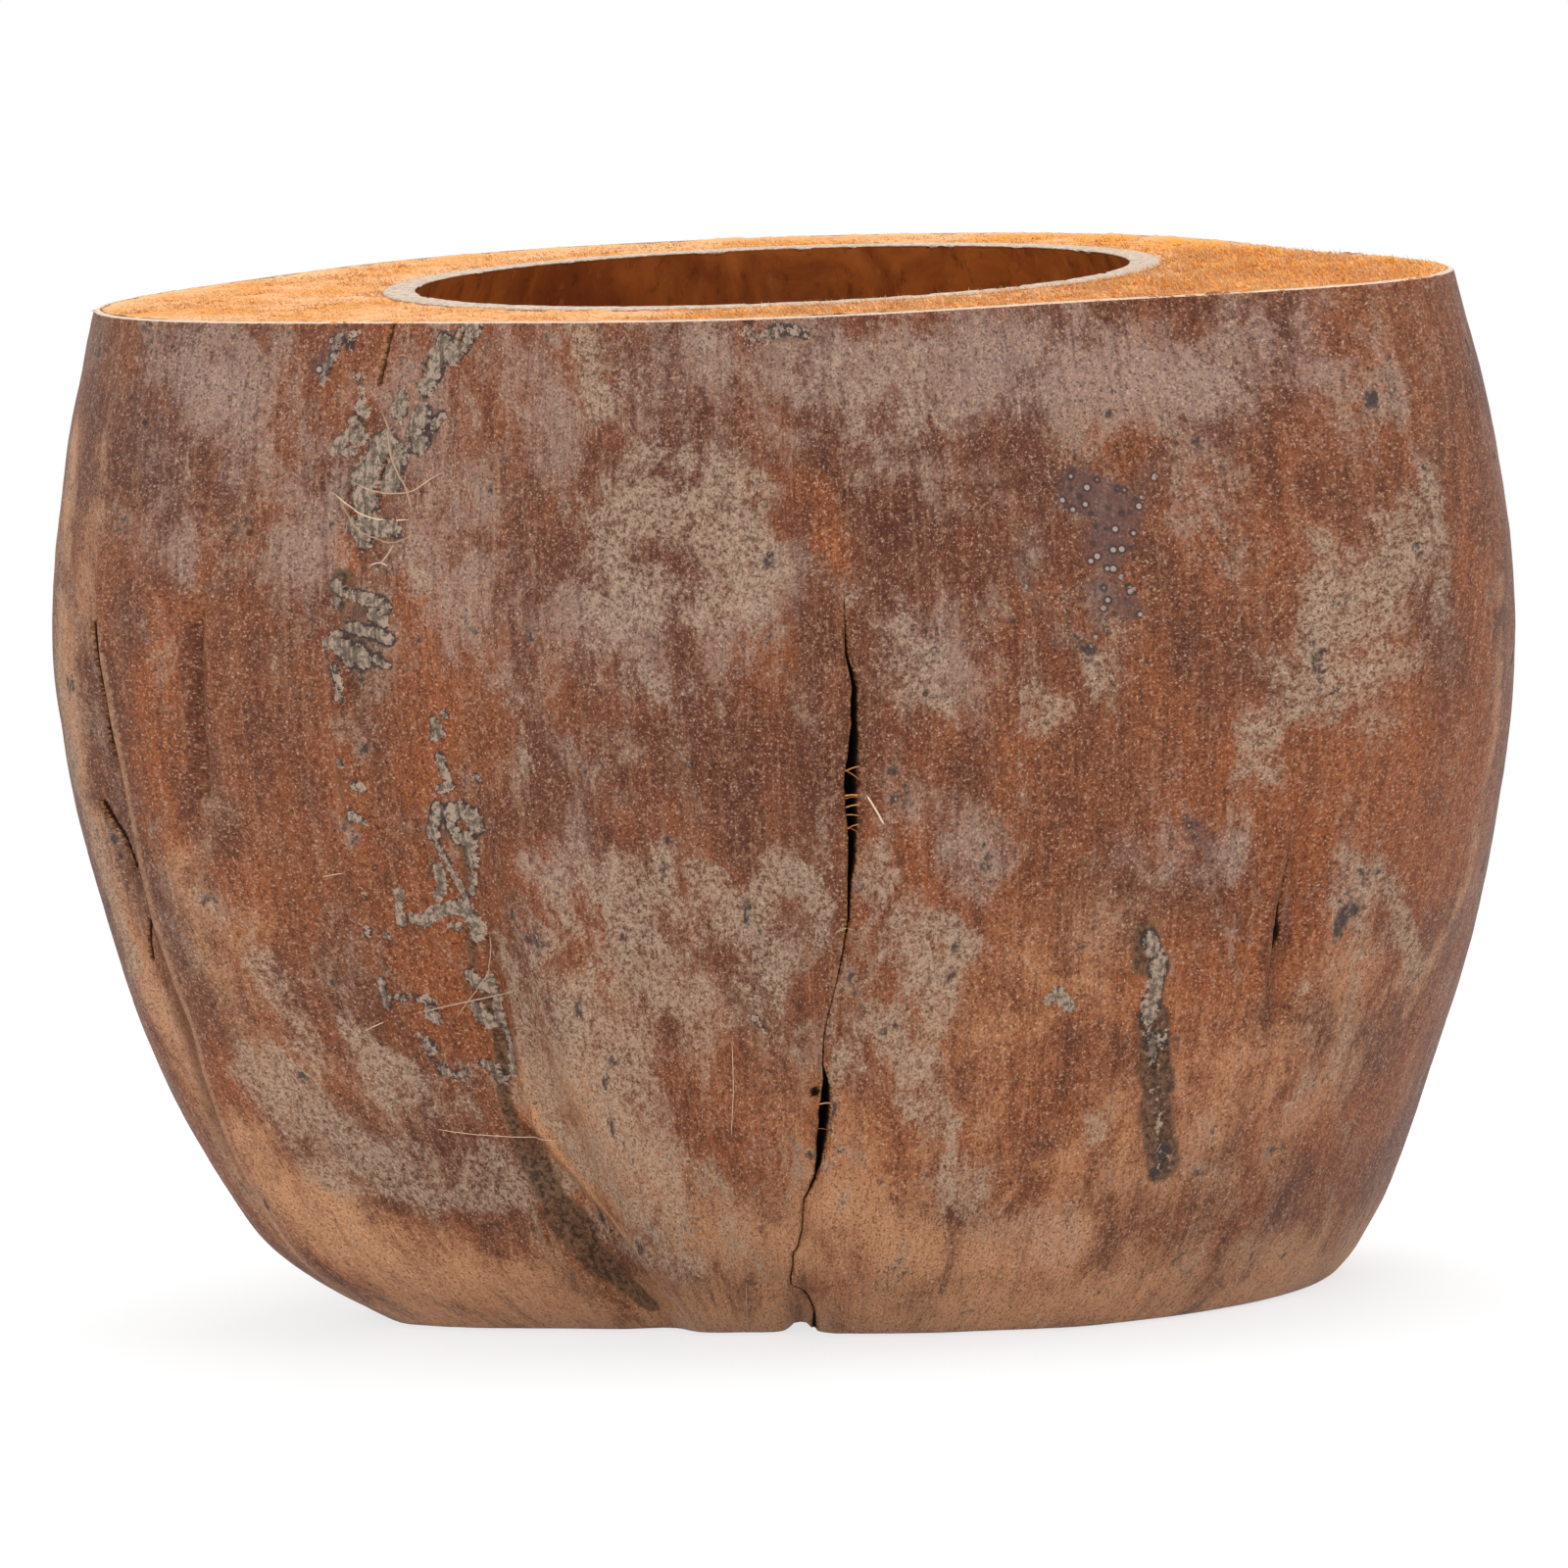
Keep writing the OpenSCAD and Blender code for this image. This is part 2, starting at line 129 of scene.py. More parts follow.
MARKS["dust"] = 0.9, (
    (3, 0.8, 250, 137.9, 250.3, 133.6, 251.6, 129.7),
    (4.1, 1, 256.1, 118.7, 259.5, 113.4, 263.8, 108.7, 264.7, 104.8),
    (3.5, 1, 256.9, 106.9, 260.2, 102.9), (2.4, 0.9, 260.7, 123.1, 255.6, 122.6),
    (2.2, 0.9, 251.3, 114.8, 252.5, 111.5), (2.7, 0.6, 249.9, 100.4, 253.1, 95.1, 249.6, 91.8),
    (1.6, 0.6, 259.8, 131.6, 260.7, 126.4), (2.2, 0.9, 267.8, 68.2, 270.2, 65.5, 272.3, 61.4),
    (3, 0.95, 260.6, 65.7, 264.5, 59.5, 268.4, 55.4),
    (3.3, 0.7, 251, 54.7, 256.4, 50.7, 262, 52.1),
    (3.4, 0.6, 256.9, 43.9, 250.1, 36.8, 243.3, 43.6),
    (3.4, 0.8, 240.2, 43.5, 239.2, 35.1, 246.5, 25.4, 252.5, 20.5),
    (2.4, 0.7, 234.9, 57.2, 237, 51.7, 238.1, 44.8),
    (1.9, 0.8, 217.6, 45.2, 219.6, 41.1, 222.9, 38.4),
    (2.2, 0.6, 227.4, 39.1, 232.9, 35, 227.4, 32.1),
    (1.9, 0.7, 207.6, 28, 209.9, 23.2, 214.8, 20.2),
    (1.9, 0.6, 213.1, 33.3, 218.1, 27.7, 223.6, 26.3),
    (3, 0.7, 278.9, 66.4, 280.7, 61, 286.4, 56.5),
    (2.4, 0.5, 276.2, 43.7, 281.2, 36.6, 280.2, 32.6),
    (2.7, 0.7, 284.6, 24, 287.9, 21, 289.7, 23.7),
    (1.9, 0.5, 291.9, 95.9, 295.3, 90.3, 296.9, 84.9), (3, 0.6, 281, 102, 278.9, 94.3),
    (3.5, 0.8, 320.7, 105.9, 321.4, 100.5, 323.1, 94.9),
    (2.4, 0.8, 319, 95.5, 320.3, 88.7, 326, 90.4),
    (1.9, 0.7, 327.2, 110.1, 328.1, 103.3, 327.2, 95.5),
    (2.4, 0.8, 327.7, 57.9, 331, 51.8, 334.2, 45.7),
    (2.7, 0.5, 319.9, 45.8, 324, 35.6, 320.2, 30.8), (2.2, 0.5, 312.8, 83.1, 311.5, 76.7),
    (2.7, 0.35, 307.9, 107.4, 308.1, 96.9), (2.7, 0.5, 238, 131.7, 237.1, 126.5),
    (1.9, 0.5, 241.9, 89.7, 242.3, 81.7), (2.4, 0.5, 230.8, 110.8, 231.8, 105.5),
    (1.9, 0.5, 196.8, 98.9, 199.6, 91.1), (2.2, 0.4, 207.6, 122.3, 210.1, 110.5),
    (1.9, 0.4, 278.8, 138.5, 283.8, 137.5), (2.7, 0.4, 307.5, 134.9, 312.8, 127.8),
    (4.6, 0.9, 254.5, 118, 260.5, 115.3, 266.2, 110),
    (4.3, 1, 255.8, 105.6, 262.2, 103.9, 266.9, 106.4),
    (3.3, 0.7, 251.8, 113.5, 251.4, 105.6, 253, 97.8), (3, 0.6, 253.8, 93.5, 259.9, 92.4),
    (2.7, 0.6, 262.7, 122.4, 268.4, 118.3), (5.7, 0.8, 321.6, 109.7, 323, 100.2, 321.4, 92.5),
    (3.8, 0.6, 319.3, 111.3, 317.5, 101, 318.4, 90.3), (3, 1, 212, 53.3, 213.3, 48.6, 213.9, 41.9),
    (2.7, 1, 215.8, 21.7, 219.1, 20, 226.9, 20.4, 232.5, 23.3),
    (3.8, 0.8, 238.4, 43.5, 238.2, 35.1, 241.4, 26.7),
    (3, 0.8, 279.2, 43.5, 283.1, 37.9, 284.8, 30.9), (2.3, 0.9, 280.7, 34.6, 283, 32.1),
    (2.2, 0.85, 285.1, 24, 287.1, 17.9, 289.1, 21.6),
    (1.6, 0.6, 296.3, 36.9, 299, 32.5, 300.7, 25.4),
    (3.5, 0.6, 238.4, 13.5, 251.5, 10.9, 260.9, 12.7),
    (8.1, 0.45, 252.4, 116.1, 260.4, 110.8, 266.1, 105.4),
    (9.5, 0.5, 246.8, 58.8, 255.1, 49.3, 264.4, 57.5),
    (8.1, 0.5, 320, 108.6, 324, 94.7, 321.9, 84.4),
    (6.8, 0.45, 250.2, 138.2, 260.8, 131.5, 270.8, 133.7),
    (5.4, 0.4, 325.1, 59.7, 333, 47.4, 327.3, 37.7),
    (4.1, 0.6, 214.8, 40.3, 220.4, 36.2, 225.6, 33.5), (3.5, 0.5, 276.1, 39.6, 282.3, 31.1),
    (6.2, 0.85, 253.2, 65.7, 251.3, 57.5, 252.2, 49.3, 250.7, 41),
    (6, 0.8, 254.6, 43.8, 248.8, 36.8, 246.9, 26.8, 250.9, 19.8),
    (5.4, 0.75, 209.9, 35.2, 213.3, 27.6, 219.6, 22.7, 227.8, 24.2),
    (4.1, 0.6, 207.2, 39.9, 209.4, 30.3), (6.2, 0.75, 325, 110.5, 321.4, 100.5, 320, 87.4),
    (5.4, 0.7, 317.5, 101, 315.9, 88, 321.9, 84.4), (3.3, 0.7, 312.8, 83.1, 313.9, 77.7),
    (4.1, 0.6, 278.2, 102.2, 281.8, 96.7, 278.9, 91.7), (3.3, 0.7, 292.6, 90.6, 295.1, 85.1),
    (8.1, 0.5, 277.6, 133.4, 280.3, 128, 286.5, 132.7), (3.5, 0.6, 302.5, 97.5, 299.7, 91.2),
    (8.1, 0.7, 247.1, 61.5, 258, 57.5, 267.6, 61.5),
    (8.1, 0.7, 243.8, 50.5, 254.9, 46.6, 264, 50.7), (6.8, 0.6, 243.1, 35.2, 252.3, 27, 257.9, 20),
    (3.3, 0.7, 278.4, 65.1, 282.1, 54.2, 284.1, 46), (3.8, 0.6, 280.2, 46.2, 282.2, 35.2),
    (3, 0.7, 236.8, 48.9, 237.5, 37.9, 242.4, 25.3, 250.2, 16.8),
    (3.3, 0.6, 285.6, 25.3, 288.2, 18.1), (3.3, 0.6, 291.7, 92, 295.1, 85.1),
    (2.7, 0.5, 279.7, 104.7, 281.2, 92.8, 283.4, 88.7),
    (2.2, 1, 191.8, 108.9, 191.5, 98.1, 191.9, 81.9, 193.6, 65.8, 194.6, 52.2),
    (1.2, 1.5, 236, 38.5, 236.4, 32.2, 239.8, 24.8, 246.5, 19.3, 249.1, 15),
)
# Mauve is a grey bloom of the skin, and partly painted sheen
MARKS["mauve"] = 0.95, (
    (6.8, 0.8, 243.5, 135.6, 246, 125.2), (8.1, 0.8, 260.9, 135.4, 276.7, 134.7, 290.6, 133.7),
    (8.1, 0.8, 298.3, 131.8, 310.9, 130.6, 318.4, 132.4), (6, 0.5, 308.5, 119.1, 305.1, 99.9),
    (6.1, 0.8, 204.2, 124.8, 207.2, 110.4), (5.4, 0.7, 216.3, 134.3, 214.2, 122.5),
    (5.4, 0.5, 237.2, 110.8, 239.1, 99, 244.8, 84.4), (5.4, 0.6, 283.7, 99.2, 288.9, 88.3),
    (5.4, 0.5, 249.8, 65.6, 242.9, 65.5, 253.1, 79.1), (6.1, 0.5, 256, 34.2, 262.5, 27.2),
    (5.4, 0.5, 284.1, 74.1, 287.8, 64.5), (4.7, 0.5, 302.3, 68.4, 309.5, 64.9),
    (8.1, 0.4, 317.6, 116.8, 324.3, 123.8), (4.6, 0.6, 293, 17.1, 298.2, 13.8),
    (9.5, 0.5, 252.5, 127.8, 266.7, 127.5, 280.3, 128),
    (7.5, 1.1, 290.5, 132.7, 302.1, 132.5, 311.9, 129.5),
    (8.1, 0.85, 230.3, 131.7, 234, 116, 238.1, 102.9),
    (8.1, 0.7, 249.9, 100.4, 260, 96.4, 267.1, 105.4), (6.8, 0.7, 221.7, 122.6, 220.1, 108.1),
    (5.4, 0.5, 285.7, 119.8, 293.1, 116.6), (7.5, 0.95, 207.3, 136.8, 213.9, 129),
)
MARKS["maroon"] = 0.95, (
    (6.1, 0.9, 278.1, 123, 280.2, 115.1), (4.7, 0.7, 285.2, 112.1, 288.6, 104),
    (8.1, 0.8, 253.2, 81.8, 265.6, 87, 273, 80.1), (4.1, 0.7, 243.8, 113.5, 245.8, 105.6),
    (4.1, 0.7, 269.4, 120.9, 272.1, 115.5), (4.1, 0.6, 210.8, 70.4, 214.7, 81.4, 218.8, 89.5),
    (3.4, 0.7, 227.9, 127.8, 223.3, 118.6), (5.4, 0.5, 244, 75, 250.2, 69.7),
    (4.1, 0.6, 260.9, 138, 258.8, 132.9), (4.1, 0.5, 214.7, 105.4, 219.1, 98.8),
    (4.1, 0.5, 295.1, 77.2, 297.8, 71.6), (4.1, 0.4, 274.3, 51.8, 270.1, 43.8),
    (1.1, 1.4, 209.3, 99.9, 209.3, 89.2, 208.6, 79.8, 207.2, 74),
    (1.9, 0.7, 206.6, 79.6, 207.3, 76.3, 207.9, 71.6),
    (6, 0.6, 294.4, 108.7, 296.6, 100.7, 293.6, 93.1), (4.1, 0.5, 314.7, 66.8, 309.7, 62.2),
    (1.2, 0.7, 209, 98.5, 209, 89.2, 208.5, 79.8), (5.4, 0.35, 286.7, 104.2, 293.5, 90.5),
)
MARKS["rust"] = 0.9, (
    (1.9, 1, 223.3, 112.1, 223.9, 109.4, 224.3, 108.1), (1.6, 0.8, 226.8, 138.9, 226.7, 133),
    (5.4, 0.8, 205.3, 91.7, 205, 80.9, 205.8, 71.4),
    (6.1, 0.8, 204.3, 36.9, 204.3, 19.9, 206.3, 9.9), (5.4, 0.8, 214.9, 13.3, 220.2, 8.8),
    (5.4, 0.6, 227.6, 65.3, 226.9, 54.3, 229, 43.3), (4.1, 0.6, 221.1, 84.1, 222.5, 70.7),
    (8.1, 0.7, 291.9, 38.6, 300.2, 29.6, 294.9, 23.3),
    (9.5, 0.8, 311.4, 78, 317.4, 66.4, 320.6, 79.3),
    (8.1, 0.8, 324.2, 65.3, 335.1, 60.4, 333.5, 76.9),
    (8.1, 0.7, 311.5, 37.7, 336.1, 22.3, 339, 32.5),
    (4.1, 0.8, 235.5, 40.6, 234.5, 32.2, 238.8, 20.9, 244.3, 9.2),
    (5.4, 0.5, 278.7, 12.7, 292.8, 9.2, 310.7, 8.8), (4.1, 0.4, 331.2, 112, 335.7, 95.2),
    (8.1, 0.7, 242.9, 65.5, 247.8, 51.9, 251.6, 38.3),
    (8.1, 0.7, 260.5, 31.4, 278.3, 27, 288.3, 30.7),
    (6.8, 0.7, 311.6, 48.5, 319, 52.7, 330.7, 45.1),
    (5.4, 0.6, 303.8, 89.5, 307.2, 78.5, 305.8, 68),
    (4.1, 0.8, 330.9, 104.1, 334.3, 84.8, 335, 65.8),
    (3.5, 0.8, 207.5, 102.5, 207.9, 91.8, 207.5, 79.7),
    (5.4, 0.7, 211, 64.9, 211.4, 51.2, 214.5, 38.9),
    (4.1, 0.7, 232.8, 102.9, 233.2, 89.6, 229.2, 78.8),
    (2.7, 0.9, 267.5, 119.7, 273.2, 118.1, 274.8, 110.2),
    (12.2, 0.5, 287.9, 44.3, 306.8, 49.1, 325.1, 59.7),
    (9.5, 0.5, 278.5, 71.8, 284.1, 58.1, 287.9, 44.3),
    (8.1, 0.95, 321.6, 88.5, 326, 73, 329.9, 58.8),
    (6.8, 0.42, 286.7, 104.2, 293.5, 90.5, 295.1, 79.8),
    (8.1, 0.8, 303.1, 46.9, 319.4, 49.9, 327.5, 64.7),
)
MARKS["bead"] = 0.9, (
    (3.3, 1, 299.1, 116.1, 301.9, 113.2, 300.6, 108.1), (2.2, 0.8, 299.8, 103, 301.8, 100.2),
    (2.2, 0.5, 304.8, 118.2, 299.1, 97.8), (1.6, 0.6, 307.1, 70.6, 309, 66.3),
    (1.4, 0.6, 222.8, 140.8, 220.5, 135), (1.4, 0.5, 292.5, 107.6, 294, 100.9),
)
MARKS["tan"] = 0.95, (
    (3.5, 0.7, 194, 98.5, 193.3, 82.1, 193.6, 65.8, 196.4, 48.3, 198, 29.1, 198, 11.9),
    (5.1, 0.8, 202.6, 26.9, 205.8, 14, 211.6, 6.8, 223.4, 2.8),
    (6.8, 0.75, 235.3, 35, 241, 25.2, 253.7, 19.9, 266.3, 12.8),
    (10.8, 0.5, 269, 14.3, 283.9, 18.4, 299, 22.9, 311, 26.1),
    (3.3, 0.5, 205.5, 67.3, 207.2, 49.6, 209.3, 34.5, 211.4, 24.7),
    (1.9, 0.55, 336.1, 97.8, 338.1, 75.9, 339, 56.9, 334.7, 40.2),
    (4.1, 0.45, 320, 26.8, 328.1, 34.8, 333, 47.4),
    (5.4, 0.4, 245.4, 51.9, 256.7, 41.1, 267.6, 35.6),
    (4.1, 0.5, 198.1, 121.7, 197.9, 109.7, 197.8, 99),
    (7.5, 0.8, 208.2, 18.8, 214.2, 10.3, 223.1, 5.6),
    (8.1, 0.8, 240.5, 35.2, 249, 24, 258.3, 14.1), (8.1, 0.7, 273.9, 18.6, 285.8, 11, 300.5, 12.9),
    (6.8, 0.5, 304.2, 22.3, 316.7, 31.4, 327, 39.1),
    (8.1, 0.4, 257.6, 52.1, 263.4, 38.4, 274, 31.4), (3.3, 0.7, 192.2, 123.7, 193.1, 109.1),
    (2.2, 0.8, 192.8, 101, 192.2, 84.7), (14.9, 0.45, 278.3, 24.2, 288, 40.3, 297.3, 50.2),
    (9.5, 0.45, 303.3, 29.3, 315.8, 37, 325.4, 46.2),
    (8.1, 0.4, 209.6, 56.6, 212.9, 44.4, 216.3, 34.8),
    (7.5, 0.4, 299.9, 15.8, 315.7, 19.2, 325.5, 29.8),
    (0.7, 1, 234.4, 37.8, 234.3, 31.5, 236.8, 25.1, 239.9, 19.1, 244.4, 13),
)

# The drying crack: direction and height along its middle, from the foot up
CRACK_PATH = (
    (270, 0), (270.1, 3.6), (269.4, 5.4), (268.5, 7), (266.7, 7.5), (266.8, 9), (267.3, 10.8),
    (267.5, 12.8), (268.2, 13.6), (268.9, 16.5), (269.3, 20.8), (270.3, 23), (270.9, 24.4),
    (271.4, 27), (271.8, 31.4), (272.2, 35), (272.3, 38), (272, 40), (272.2, 43.8),
    (272.7, 46.8), (273.6, 51), (274.4, 55.2), (275.1, 60), (275.3, 65.3), (275.7, 70),
    (275.7, 78.6), (276.1, 86), (276.3, 91.8), (275.6, 96.1), (275.6, 103), (275.7, 112),
)
# Half of its width, and the height, where it is WIDEST_CRACK mm across at its widest
CRACK_HALF_WIDTHS = (
    (0.3, 0), (0.2, 3), (0.12, 8), (0.1, 20), (0.26, 24.5), (0.5, 27), (0.7, 30),
    (0.85, 33), (0.8, 36), (0.42, 37.6), (0.12, 39.5), (0.09, 50), (0.14, 58), (0.28, 65),
    (0.5, 68), (0.6, 70), (0.75, 74), (0.9, 78), (0.92, 80.5), (0.78, 84), (0.5, 87),
    (0.4, 92), (0.24, 95), (0.14, 98), (0.08, 103), (0, 107),
)
WIDEST_CRACK = 1.84
# Edge of the front lobe, which bulges over the fold at the left corner, its step down into the
# fold, and how far beyond the edge the fold lies in shade
LOBE_PATH = (
    (200, 0), (200.3, 12), (200.4, 25), (201.4, 36), (202, 43), (201.5, 50), (201, 58),
    (201.2, 71), (201.1, 80.5), (200.6, 91), (199.8, 102), (199.4, 115),
)
LOBE_STEPS = ((2.2, 0), (2.9, 12), (3.4, 30), (3.4, 70), (2.4, 88), (0.9, 101), (0, 112))
SHADE_REACHES = ((2.5, 0), (4, 15), (7, 30), (6, 45), (4, 60), (2, 90), (2, 141))
# The fold of the solid husk that the lobe takes the place of: its direction and its depth
SOLID_FOLD_PATH = (
    (203, 0), (202, 8.5), (201, 28.2), (199.5, 56.4), (199, 91.7), (199, 119.9), (199, 141),
)
SOLID_FOLD_DEPTHS = (
    (1, 0), (1.75, 8.5), (2.5, 28.2), (2.5, 56.4), (1.75, 91.7), (0.25, 119.9), (0, 141),
)
SOLID_FOLD_SPREAD = 2.8
# The small notch that the crack leaves in the edge of the foot: direction, half width in
# degrees, and height
NOTCH_AT, NOTCH_SPREAD, NOTCH_RISE = 267.4, 1.9, 1.35
# Unevenness of the skin: height, size of the lumps along each axis, and seed of each layer,
# taken on a cylinder of GRAIN_RADIUS, so that it keeps its place along the fibres
SKIN_LUMPS = (
    (0.35, 26, 11), (0.12, 6, 17), (0.07, (2.2, 2.2, 30), 23), (0.05, (0.9, 0.9, 9), 29),
)
GRAIN_RADIUS = 85
# Raggedness of the crack's left and right lip: share of its width, size of the lumps, and seed
LIP_LUMPS = ((0.45, 3.2, 5), (0.5, 2.6, 9))
# Wear of the skin's foot and rim: how far it is worn back, and the height
WORN_BACK = (
    (0.85, 0), (0.5, 0.4), (0.26, 1), (0.08, 2), (0, 3.2), (0, HEIGHT - 0.45),
    (0.06, HEIGHT - 0.2), (0.28, HEIGHT),
)

# Slits in the skin: half width, depth, and then directions and heights
SLITS = (
    (0.75, 2.2, 198.7, 99, 199, 94, 199.3, 89, 199, 85, 199.4, 82),
    (0.6, 2.2, 199.8, 93, 199.7, 85, 200, 80, 200.2, 78),
    (0.45, 1.2, 196.2, 74.4, 196.8, 72.5, 197.9, 69.5, 198.3, 66),
    (0.4, 1, 198.3, 58, 197.7, 55.4, 197.4, 53), (0.5, 1.2, 316.2, 58, 316.3, 55, 316.3, 52.8),
    (0.9, 1.2, 316.4, 54.7, 316.5, 53.9), (0.2, 0.7, 316.7, 64, 316.2, 58, 316.3, 52, 316.2, 47),
    (0.5, 1, 270.9, 36.4, 271.1, 36.2), (0.3, 0.45, 227.9, 141, 227.3, 136.9, 226.8, 132.7),
    (0.18, 0.5, 236, 139.8, 235.5, 138.2), (0.16, 0.5, 232, 136.4, 231.3, 133.5),
    (0.16, 0.6, 228.4, 123.6, 227.3, 119.8),
)
# Shallow creases and swellings of the skin: half width, rise, and then directions and heights
CREASES = (
    (1, -1.3, 210.4, 104, 210, 100, 209.9, 92, 209.5, 84, 208.9, 77),
    (3.6, -0.6, 208, 100, 207.6, 90, 207, 78), (2.6, -0.5, 209.5, 82, 208.4, 74, 207.6, 64),
    (2.6, -1.4, 318, 68, 317.9, 57, 317.8, 50, 317.6, 43),
    (1.1, 0.8, 315.6, 67, 315, 60, 315, 53, 315.4, 46),
    (0.9, -1.1, 233.1, 52, 233, 43.7, 232.2, 34.9, 232.8, 29.5, 235.2, 23.5, 238, 17.5,
     240.8, 11.4, 242.4, 4.2),
    (3.2, -0.6, 229.9, 29.5, 232.2, 23.5, 234.9, 17.5, 237.6, 11.4, 239, 4.2),
    (2.4, 0.8, 235.4, 46, 234.8, 35), (3.2, 1.9, 235.6, 30, 238.3, 23.5, 241.4, 17.5, 244.6, 11.4),
    (1.4, 0.8, 264.8, 6.5, 265.4, 3, 265.6, 0), (2.4, -0.6, 247, 60, 252, 45, 258, 30),
    (5, -0.7, 292, 20, 294, 8, 295, 0), (4, 0.6, 303, 24, 305, 10, 306, 0),
    (10, 1.8, 186, 10.5, 196, 10.5, 208, 9.5, 219, 7),
)
# Strands that lie on the skin: thickness, and then directions and heights
SURFACE_STRANDS = (
    (0.34, 227.3, 129.1, 228.1, 126.5, 228.6, 123.2, 229.5, 120.6, 230.3, 118.4, 230.9, 115.8),
    (0.2, 224.9, 119.7, 226.7, 118.6, 228.7, 118.2, 230.8, 118.5, 232.8, 120.1, 234.1, 121),
    (0.22, 222.8, 118.2, 224, 116.8, 225.5, 115.6, 227.2, 114.8, 228.8, 114.6, 230.6, 114.7),
    (0.2, 223.3, 117.6, 224, 115.7, 225.4, 113.4, 227.3, 112.1, 228.8, 111.6, 231, 112.5),
    (0.18, 229, 111.4, 228.4, 110, 227.7, 108.9), (0.16, 226.6, 108.6, 227.6, 108.9, 228.4, 108.5),
    (0.22, 225, 46.8, 227.8, 47.7, 231, 48.6, 233.6, 49.3, 236.7, 50.2),
    (0.16, 219.6, 44.3, 220.5, 44.9, 221.7, 45.6),
    (0.1, 223.5, 30.3, 227, 29.6, 231.5, 29, 237.5, 28.5),
    (0.15, 229, 46.1, 230.6, 48.6, 232.6, 51.6, 233.9, 55.1, 234.3, 57.8),
    (0.09, 262.2, 43.6, 261.9, 37, 261.1, 30), (0.14, 260.3, 8.4, 259.4, 4.1, 258.6, 1),
    (0.16, 219.1, 65.9, 220, 66.2, 221, 66.4), (0.3, 277.1, 77, 278, 74.8, 278.7, 72.9),
    (0.2, 273.7, 58.3, 274.6, 58.8, 275.6, 58.6),
)
# Heights of the fibres that bridge the crack
CRACK_BRIDGES = (80.6, 80.3, 77, 76.6, 75.4, 74.4, 72.8, 72.4, 58.8, 58.2, 34.5, 31)
# Frayed tufts at the rim: direction, spread in degrees, number and length
RIM_TUFTS = (
    (190.5, 1.0, 6, 1.1), (222.8, 0.6, 12, 1.6), (228.7, 0.3, 5, 1.6), (312, 3.0, 26, 3.0),
    (330, 1.2, 12, 2.4), (358, 0.9, 12, 2.2), (8, 5, 22, 0.8), (28, 6, 12, 0.7),
)
# The plug that closes each germ pore, and the membrane that stands for it
PORES = {
    "soft_pore_plug": "soft_pore_membrane",
    "left_hard_pore_plug": "left_pore_membrane",
    "right_hard_pore_plug": "right_pore_membrane",
}


def coordinates(node):
    """Vertices of a CAD node, in millimetres."""
    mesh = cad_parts[node].data
    flat = np.empty(len(mesh.vertices) * 3, np.float32)
    mesh.vertices.foreach_get("co", flat)
    return flat.reshape(-1, 3).astype(float) * 1000


def from_polar(theta, reach, z):
    """Points from directions in degrees, radii and heights."""
    a = np.radians(theta)
    return np.stack([reach * np.cos(a), reach * np.sin(a), np.broadcast_to(z, a.shape)], -1)


def smoothstep(low, high, value):
    """0 below low, 1 above high, and a smooth ramp between them."""
    t = np.clip((value - low) / (high - low), 0, 1)
    return t * t * (3 - 2 * t)


def hill(distance, spread):
    """1 in the middle, falling off smoothly on both sides."""
    return np.exp(-(distance / spread) ** 2)


def ripple(points, size, seed):
    """Smooth noise from -1 to 1 at points, with lumps of that size in mm along each axis."""
    cell = points / size
    corner = np.floor(cell).astype(np.int64)
    part = cell - corner
    part = part * part * (3 - 2 * part)
    table = np.random.default_rng(seed).uniform(-1, 1, 4096)
    value = np.zeros(points.shape[:-1])
    for shift in np.ndindex(2, 2, 2):
        x, y, z = np.moveaxis(corner + shift, -1, 0)
        key = x * 73856093 ^ y * 19349663 ^ z * 83492791
        weight = np.prod(np.abs(1 - np.array(shift) - part), axis=-1)
        value += weight * table[key & 4095]
    return value


def layered(points, size, seed, layers=3, keep=0.55):
    """Noise with finer and finer lumps, each layer half the size and weaker."""
    weights = keep ** np.arange(layers)
    total = sum(
        weight * ripple(points, np.asarray(size) / 2 ** k, seed + k)
        for k, weight in enumerate(weights)
    )
    return total / weights.sum()


def along(heights, table):
    """Values at some heights of a table of (value, height) pairs, straight between them."""
    values, levels = zip(*table)
    return np.interp(heights, levels, values)


def eased(u, before, after, slope_before, slope_after):
    """Value at the share u of a span, from the values and slopes at its two ends."""
    ease = u * u * (3 - 2 * u)
    return (
        before * (1 - ease) + after * ease
        + slope_before * u * (1 - u) ** 2 - slope_after * u * u * (1 - u)
    )


def husk_form():
    """Heights of the CAD skin's rows, and the radius of its outside at each row and column."""
    points = coordinates("skin")
    height = np.round(points[:, 2], 2)
    reach = np.hypot(points[:, 0], points[:, 1])
    angle = np.degrees(np.arctan2(points[:, 1], points[:, 0])) % 360
    levels, counts = np.unique(height, return_counts=True)
    # Only a row that goes all round has so many vertices
    full_row = 150
    rows = levels[counts > full_row]
    top = np.unique(np.round(angle[height == rows[-1]], 1) % 360)
    step = 360 / len(top)
    grid = np.full((len(rows), len(top)), np.nan)
    for j, level in enumerate(rows):
        on = height == level
        column = np.round(angle[on] / step).astype(int)
        near = np.abs(angle[on] - column * step) < 0.1
        np.fmax.at(grid[j], column[near] % len(top), reach[on][near])
    # The solid's crack is bridged, since the skin here gets one of its own
    crack, crack_top, crack_margin = along(rows, CRACK_PATH), 112, 1.4
    gap = np.abs(np.arange(len(top)) * step - crack[:, None]) < crack_margin
    grid[gap & (rows < crack_top)[:, None]] = np.nan
    for ring in grid:
        lost = np.isnan(ring)
        places = np.arange(len(ring))
        ring[lost] = np.interp(places[lost], places[~lost], ring[~lost])
    return rows, grid


FORM_ROWS, FORM_GRID = husk_form()


